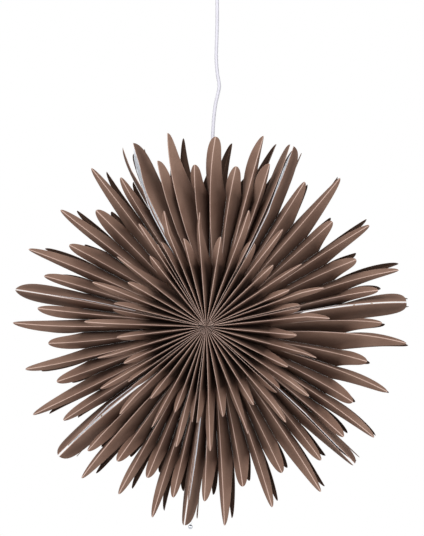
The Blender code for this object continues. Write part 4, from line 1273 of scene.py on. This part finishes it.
@dataclass
class LampHolder:
    """The holder inside the star: spreader, strain relief, shell, screw insert and clamping ring."""

    form: StarForm
    spreader: tuple[Pair, ...] = ((0.0033, 0.044), (0.020, 0.044), (0.020, 0.0455), (0.0033, 0.0455))
    relief: tuple[Pair, ...] = (
        (0.0, 0.034), (0.009, 0.034), (0.0088, 0.0362), (0.0064, 0.0405), (0.0052, 0.0437), (0.003, 0.0437),
        (0.003, 0.0363), (0.0, 0.0363))
    shell: tuple[Pair, ...] = (
        (0.0, 0.0337), (0.0105, 0.0337), (0.012, 0.0325), (0.012, 0.0045), (0.0118, 0.0042), (0.0118, -0.004),
        (0.0108, -0.004), (0.0108, 0.0325), (0.0, 0.0325))
    insert: tuple[Pair, ...] = (
        (0.0, 0.0321), (0.0105, 0.0321), (0.0105, -0.002), (0.0071, -0.002), (0.0071, 0.0245), (0.0, 0.0245))
    ring: tuple[Pair, ...] = ((0.0123, 0.0), (0.0153, 0.0), (0.0153, 0.004), (0.0123, 0.004))

    def build(self, white: bpy.types.Material, clear: bpy.types.Material, brass: bpy.types.Material) -> None:
        """Add the holder's pieces, each in place of its CAD node."""
        centre = self.form.point(0.0, 0.0, 0.0)
        add_piece("spreader_disc", lathe(self.spreader, centre), clear, "star", ("spreader",))
        relief = lathe(rounded(self.relief, 0.0006), centre)
        add_piece("strain_relief", relief, white, "star", ("holder_relief",))
        shell = lathe(rounded(self.shell, 0.0004), centre)
        add_piece("socket_shell", shell, white, "star", ("holder_shell",))
        add_piece("screw_insert", lathe(self.insert, centre), brass, "star", ("holder_insert",))
        ribs = RingOfRibs(0.0154, 36, (0.0008, 0.0009, 0.0034)).build(
            centre + Vector((0.0, 0.0, 0.002)), white)
        ring = join_meshes("clamping_ring", [lathe(self.ring, centre), ribs])
        add_piece("clamping_ring", ring, white, "star", ("holder_ring",))


@dataclass
class Bulb:
    """Small frosted bulb with a rolled screw cap and a foot contact."""

    form: StarForm
    pitch: float = 0.00282
    crest: float = 0.0068
    root: float = 0.0063
    thread: Pair = (-0.0005, 0.0165)
    glass: tuple[Pair, ...] = (
        (0.0, -0.0033), (0.0064, -0.0033), (0.0072, -0.007), (0.0118, -0.0125), (0.0158, -0.0175),
        (0.0175, -0.0235), (0.0165, -0.0295), (0.0129, -0.0350), (0.0070, -0.0385), (0.0, -0.0397))

    def cap(self, centre: Vector, spins: int = 64, rows: int = 96) -> bpy.types.Mesh:
        """Return the screw cap with its rolled thread."""
        work = bmesh.new()
        levels = []
        low, top = -0.003, 0.0185
        for level in range(rows + 1):
            height = low + (top - low) * level / rows
            ease = min(1.0, max(0.0, (height - self.thread[0]) / self.pitch))
            ease *= min(1.0, max(0.0, (self.thread[1] - height) / self.pitch))
            row = []
            for step in range(spins):
                turn = WHOLE * step / spins
                wave = 0.5 + 0.5 * math.cos(WHOLE * height / self.pitch - turn)
                radius = self.crest - (self.crest - self.root) * ease * (1.0 - wave)
                row.append(work.verts.new(centre + Vector((
                    radius * math.cos(turn), radius * math.sin(turn), height))))
            levels.append(row)
        shoulder = [work.verts.new(centre + Vector((0.003 * math.cos(WHOLE * k / spins),
                                                    0.003 * math.sin(WHOLE * k / spins), 0.0205)))
                    for k in range(spins)]
        levels.append(shoulder)
        for first, second in zip(levels, levels[1:]):
            for step in range(spins):
                after = (step + 1) % spins
                work.faces.new((first[step], first[after], second[after], second[step]))
        work.faces.new(levels[0])
        work.faces.new(shoulder)
        bmesh.ops.recalc_face_normals(work, faces=work.faces)
        mesh = bpy.data.meshes.new("cap")
        work.to_mesh(mesh)
        work.free()
        return mesh

    def build(self, frosted: bpy.types.Material, metal: bpy.types.Material) -> None:
        """Add glass, cap and foot contact."""
        centre = self.form.point(0.0, 0.0, 0.0)
        outline = smooth_route([Vector((r, 0.0, h)) for r, h in self.glass[1:]], 0.0012)
        profile = [self.glass[0], *((max(0.0, p.x), p.z) for p in outline[:-1]), self.glass[-1]]
        add_piece("frosted_glass", lathe(profile, centre), frosted, "bulb", ("bulb_glass",))
        add_piece("screw_cap", self.cap(centre), metal, "bulb", ("bulb_cap",))
        foot = ((0.0, 0.0208), (0.0025, 0.0208), (0.0024, 0.0218), (0.0016, 0.0224), (0.0, 0.0225))
        add_piece("foot_contact", lathe(foot, centre, 32), metal, "bulb_foot", ("bulb_contact",))


@dataclass
class CeilingFitting:
    """Plate, hook, terminal block, cores, cup and cable outlet at the ceiling."""

    cup_outer: tuple[Pair, ...] = (
        (0.034, 0.0), (0.034, -0.008), (0.0315, -0.022), (0.0255, -0.034), (0.0175, -0.0415),
        (0.0088, -0.045))
    cup_inner: tuple[Pair, ...] = (
        (0.0088, -0.0434), (0.0168, -0.0401), (0.0243, -0.0330), (0.0300, -0.0215), (0.0324, -0.008),
        (0.0324, 0.0))
    gland: tuple[Pair, ...] = (
        (0.0115, -0.0395), (0.0115, -0.0417), (0.0085, -0.0429), (0.0085, -0.0453), (0.0106, -0.0453),
        (0.0102, -0.0500), (0.0088, -0.0550), (0.0063, -0.0550), (0.0030, -0.0480), (0.0067, -0.0395))
    hook: tuple[Pair, ...] = (
        (0.0, -0.0023), (0.0, -0.0080), (0.0016, -0.0112), (0.0045, -0.0140), (0.0052, -0.0175),
        (0.0036, -0.0208),
        (0.0, -0.0222), (-0.0036, -0.0208), (-0.0050, -0.0178))

    def build(self, white: bpy.types.Material, steel: bpy.types.Material, brass: bpy.types.Material,
              core: bpy.types.Material) -> None:
        """Add the pieces at the ceiling."""
        origin = Vector((0.0, 0.0, 0.0))
        outer = [Vector((r, 0.0, h)) for r, h in self.cup_outer]
        inner = [Vector((r, 0.0, h)) for r, h in self.cup_inner]
        profile = [(p.x, p.z) for p in smooth_route(outer, 0.002) + smooth_route(inner, 0.002)]
        add_piece("ceiling_cup_shell", lathe(profile, origin, 96), white, "ceiling",
                  ("ceiling_cup",))
        gland = lathe(self.gland, origin, 48)
        ribs = RingOfRibs(0.0103, 18, (0.001, 0.0011, 0.0036)).build(Vector((0.0, 0.0, -0.0475)), white)
        add_piece("cable_outlet", join_meshes("outlet", [gland, ribs]), white, "ceiling",
                  ("cup_gland",))
        hook = smooth_route([Vector((x, 0.0, z)) for x, z in self.hook], 0.0009)
        add_piece("wire_hook", wire("hook", hook, 0.0012), steel, "ceiling", ("ceiling_hook",))
        self.dress_nodes(steel, core)
        self.add_block(white, brass)

    def dress_nodes(self, steel: bpy.types.Material, core: bpy.types.Material) -> None:
        """Give the plate and the cores, whose CAD shapes stay, their finish."""
        for name, material in (("ceiling_plate", steel), ("cable_cores", core)):
            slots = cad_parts[name].material_slots
            for slot in slots:
                slot.material = material

    def add_block(self, white: bpy.types.Material, brass: bpy.types.Material) -> None:
        """Add the terminal block with its screw wells, and the brass screws in them."""
        low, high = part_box("terminal_block")
        work = bmesh.new()
        bmesh.ops.create_cube(work, size=1.0)
        for vertex in work.verts:
            vertex.co = Vector([high[k] if vertex.co[k] > 0 else low[k] for k in range(3)])
        bmesh.ops.bevel(work, geom=list(work.edges), offset=0.0006, segments=3, affect="EDGES", profile=0.5)
        mesh = bpy.data.meshes.new("block")
        work.to_mesh(mesh)
        work.free()
        middle = 0.5 * (Vector(low) + Vector(high))
        wells = []
        screws = []
        for shift in (-0.005, 0.005):
            place = Vector((middle.x + shift, low[1] + 0.0002, middle.z))
            for way, radius, out in ((wells, 0.0026, 0.0002), (screws, 0.0016, 0.0)):
                cylinder = lathe(((0.0, 0.0), (radius, 0.0), (radius, 0.0010), (0.0, 0.0010)), Vector(), 32)
                for vertex in cylinder.vertices:
                    x, y, z = vertex.co
                    vertex.co = place + Vector((x, z - 0.0006 * (way is screws) + out, y))
                way.append(cylinder)
        add_piece("terminal_housing", join_meshes("housing", [mesh, *wells]), white, "ceiling",
                  ("terminal_block",))
        add_piece("terminal_screws", join_meshes("screws", screws), brass, "ceiling")


@dataclass
class Studio:
    """Plain white surroundings, soft lamps and the camera at the photograph's angle."""

    target: tuple[float, float, float] = (-0.008, 0.0, -0.4695)
    azimuth: float = 7.3
    elevation: float = -1.4
    distance: float = 3.0
    view_height: float = 0.820
    floor: float = -1.45
    sensor: float = 24.0

    def white_surface(self, name: str) -> bpy.types.Material:
        """Return a surface that the camera, gloss and glass see as plain white."""
        material, tree, shader = start_material(name)
        shader.inputs["Base Color"].default_value = linear("#E9E9E9")
        shader.inputs["Roughness"].default_value = 0.9
        path = add_node(tree, "ShaderNodeLightPath")
        seen = add_node(tree, "ShaderNodeMath", {"operation": "MAXIMUM"}, {
            0: path.outputs["Is Camera Ray"], 1: path.outputs["Is Glossy Ray"]})
        both = add_node(tree, "ShaderNodeMath", {"operation": "MAXIMUM"}, {
            0: seen.outputs[0], 1: path.outputs["Is Transmission Ray"]})
        glow = add_node(tree, "ShaderNodeEmission", inputs={"Color": (1.0, 1.0, 1.0, 1.0), "Strength": 1.0})
        mix = add_node(tree, "ShaderNodeMixShader", inputs={
            0: both.outputs[0], 1: shader.outputs[0], 2: glow.outputs[0]})
        tree.links.new(mix.outputs[0], tree.nodes["Material Output"].inputs["Surface"])
        return material

    def add_plane(self, name: str, corners: list[tuple[float, float, float]],
                  material: bpy.types.Material) -> None:
        """Add one staged surface."""
        mesh = bpy.data.meshes.new(name)
        mesh.from_pydata(corners, [], [(0, 1, 2, 3)])
        mesh.materials.append(material)
        plane = bpy.data.objects.new(name, mesh)
        bpy.context.scene.collection.objects.link(plane)

    def add_lamp(self, name: str, place: tuple[float, float, float], size: float, watts: float) -> None:
        """Add one square soft lamp that looks at the star.

        Args:
            name: The lamp's name.
            place: Where it stands.
            size: Its side in metres.
            watts: Its power.
        """
        data = bpy.data.lights.new(name, "AREA")
        data.shape = "SQUARE"
        data.size = size
        data.energy = watts
        lamp = bpy.data.objects.new(name, data)
        lamp.location = place
        aim = Vector((-0.008, 0.0, -0.559)) - Vector(place)
        lamp.rotation_euler = aim.to_track_quat("-Z", "Y").to_euler()
        bpy.context.scene.collection.objects.link(lamp)

    def add_camera(self) -> None:
        """Add the camera."""
        side = math.radians(self.azimuth)
        up = math.radians(self.elevation)
        away = Vector((math.sin(side) * math.cos(up), -math.cos(side) * math.cos(up), math.sin(up)))
        data = bpy.data.cameras.new("camera")
        data.sensor_fit = "VERTICAL"
        data.sensor_height = self.sensor
        data.lens = 0.5 * self.sensor * self.distance / (0.5 * self.view_height)
        camera = bpy.data.objects.new("camera", data)
        camera.location = Vector(self.target) + away * self.distance
        camera.rotation_euler = (-away).to_track_quat("-Z", "Y").to_euler()
        bpy.context.scene.collection.objects.link(camera)
        bpy.context.scene.camera = camera

    def build(self) -> None:
        """Set the stage, the lamps, the world and the camera."""
        scene = bpy.context.scene
        scene.view_settings.view_transform = "Standard"
        white = self.white_surface("pale_studio")
        floor = [(x, y, self.floor) for x, y in ((-4, -4), (4, -4), (4, 3), (-4, 3))]
        self.add_plane("floor", floor, white)
        world = bpy.data.worlds.new("studio")
        scene.world = world
        world.use_nodes = True
        tree = world.node_tree
        tree.nodes.clear()
        path = add_node(tree, "ShaderNodeLightPath")
        seen = add_node(tree, "ShaderNodeMath", {"operation": "MAXIMUM"}, {
            0: path.outputs["Is Camera Ray"], 1: path.outputs["Is Transmission Ray"]})
        both = add_node(tree, "ShaderNodeMath", {"operation": "MAXIMUM"}, {
            0: seen.outputs[0], 1: path.outputs["Is Glossy Ray"]})
        colour = (1.0, 1.0, 1.0, 1.0)
        soft = add_node(tree, "ShaderNodeBackground", inputs={"Color": colour, "Strength": 0.22})
        bright = add_node(tree, "ShaderNodeBackground", inputs={"Color": colour, "Strength": 1.0})
        mix = add_node(tree, "ShaderNodeMixShader", inputs={
            0: both.outputs[0], 1: soft.outputs[0], 2: bright.outputs[0]})
        add_node(tree, "ShaderNodeOutputWorld", inputs={"Surface": mix.outputs[0]})
        self.add_lamp("key", (-1.3, -2.6, 0.9), 1.6, 62.0)
        self.add_lamp("fill", (1.5, -2.4, 0.1), 1.6, 40.0)
        self.add_camera()


def main() -> None:
    """Build every piece, dress what stays of the CAD, and set the studio."""
    logging.basicConfig(level=logging.INFO, format="%(name)s: %(message)s")
    form = StarForm()
    Studio().build()
    white = Moulded("white_moulded", "#E4E3E6").material()
    HangingCable(form).build(Moulded("white_cable_jacket", "#D3D1DB", 0.34, 0.9, 0.08).material())
    paper = DyedPaper().material()
    # The petals' inner side is a darker copy of the same paper: painted shade.
    inside = DyedPaper("dyed_paper_inside_painted_shade", "#4A372D", "#3A2A22", "#6B5347").material()
    film = MilkyFilm().material()
    brass = Metal("rolled_brass", "#C79A55", 0.24).material()
    steel = Metal("plated_steel", "#B9BCC0", 0.3).material()
    chrome = Metal("polished_chrome", "#C9CCD2", 0.05, spread=0.02).material()
    clear = Moulded("clear_nylon", "#F2F5FA", 0.16, 2.0, 0.05, 0.85).material()
    for index, letter in enumerate("abcdefg"):
        PaperFan(form, index).build(paper, inside, letter)
        SeamFilm(form, index).build(film, letter)
    SeamRivets(form).build(brass)
    HangingBall(form).build(chrome, clear)
    LampHolder(form).build(white, clear, brass)
    Bulb(form).build(Moulded("frosted_glass", "#F1EFE8", 0.45, 1.0, 0.1, 0.35).material(), steel)
    CeilingFitting().build(white, steel, brass, Moulded("core_insulation", "#5A3A22", 0.4).material())


if __name__ == "__main__":
    main()
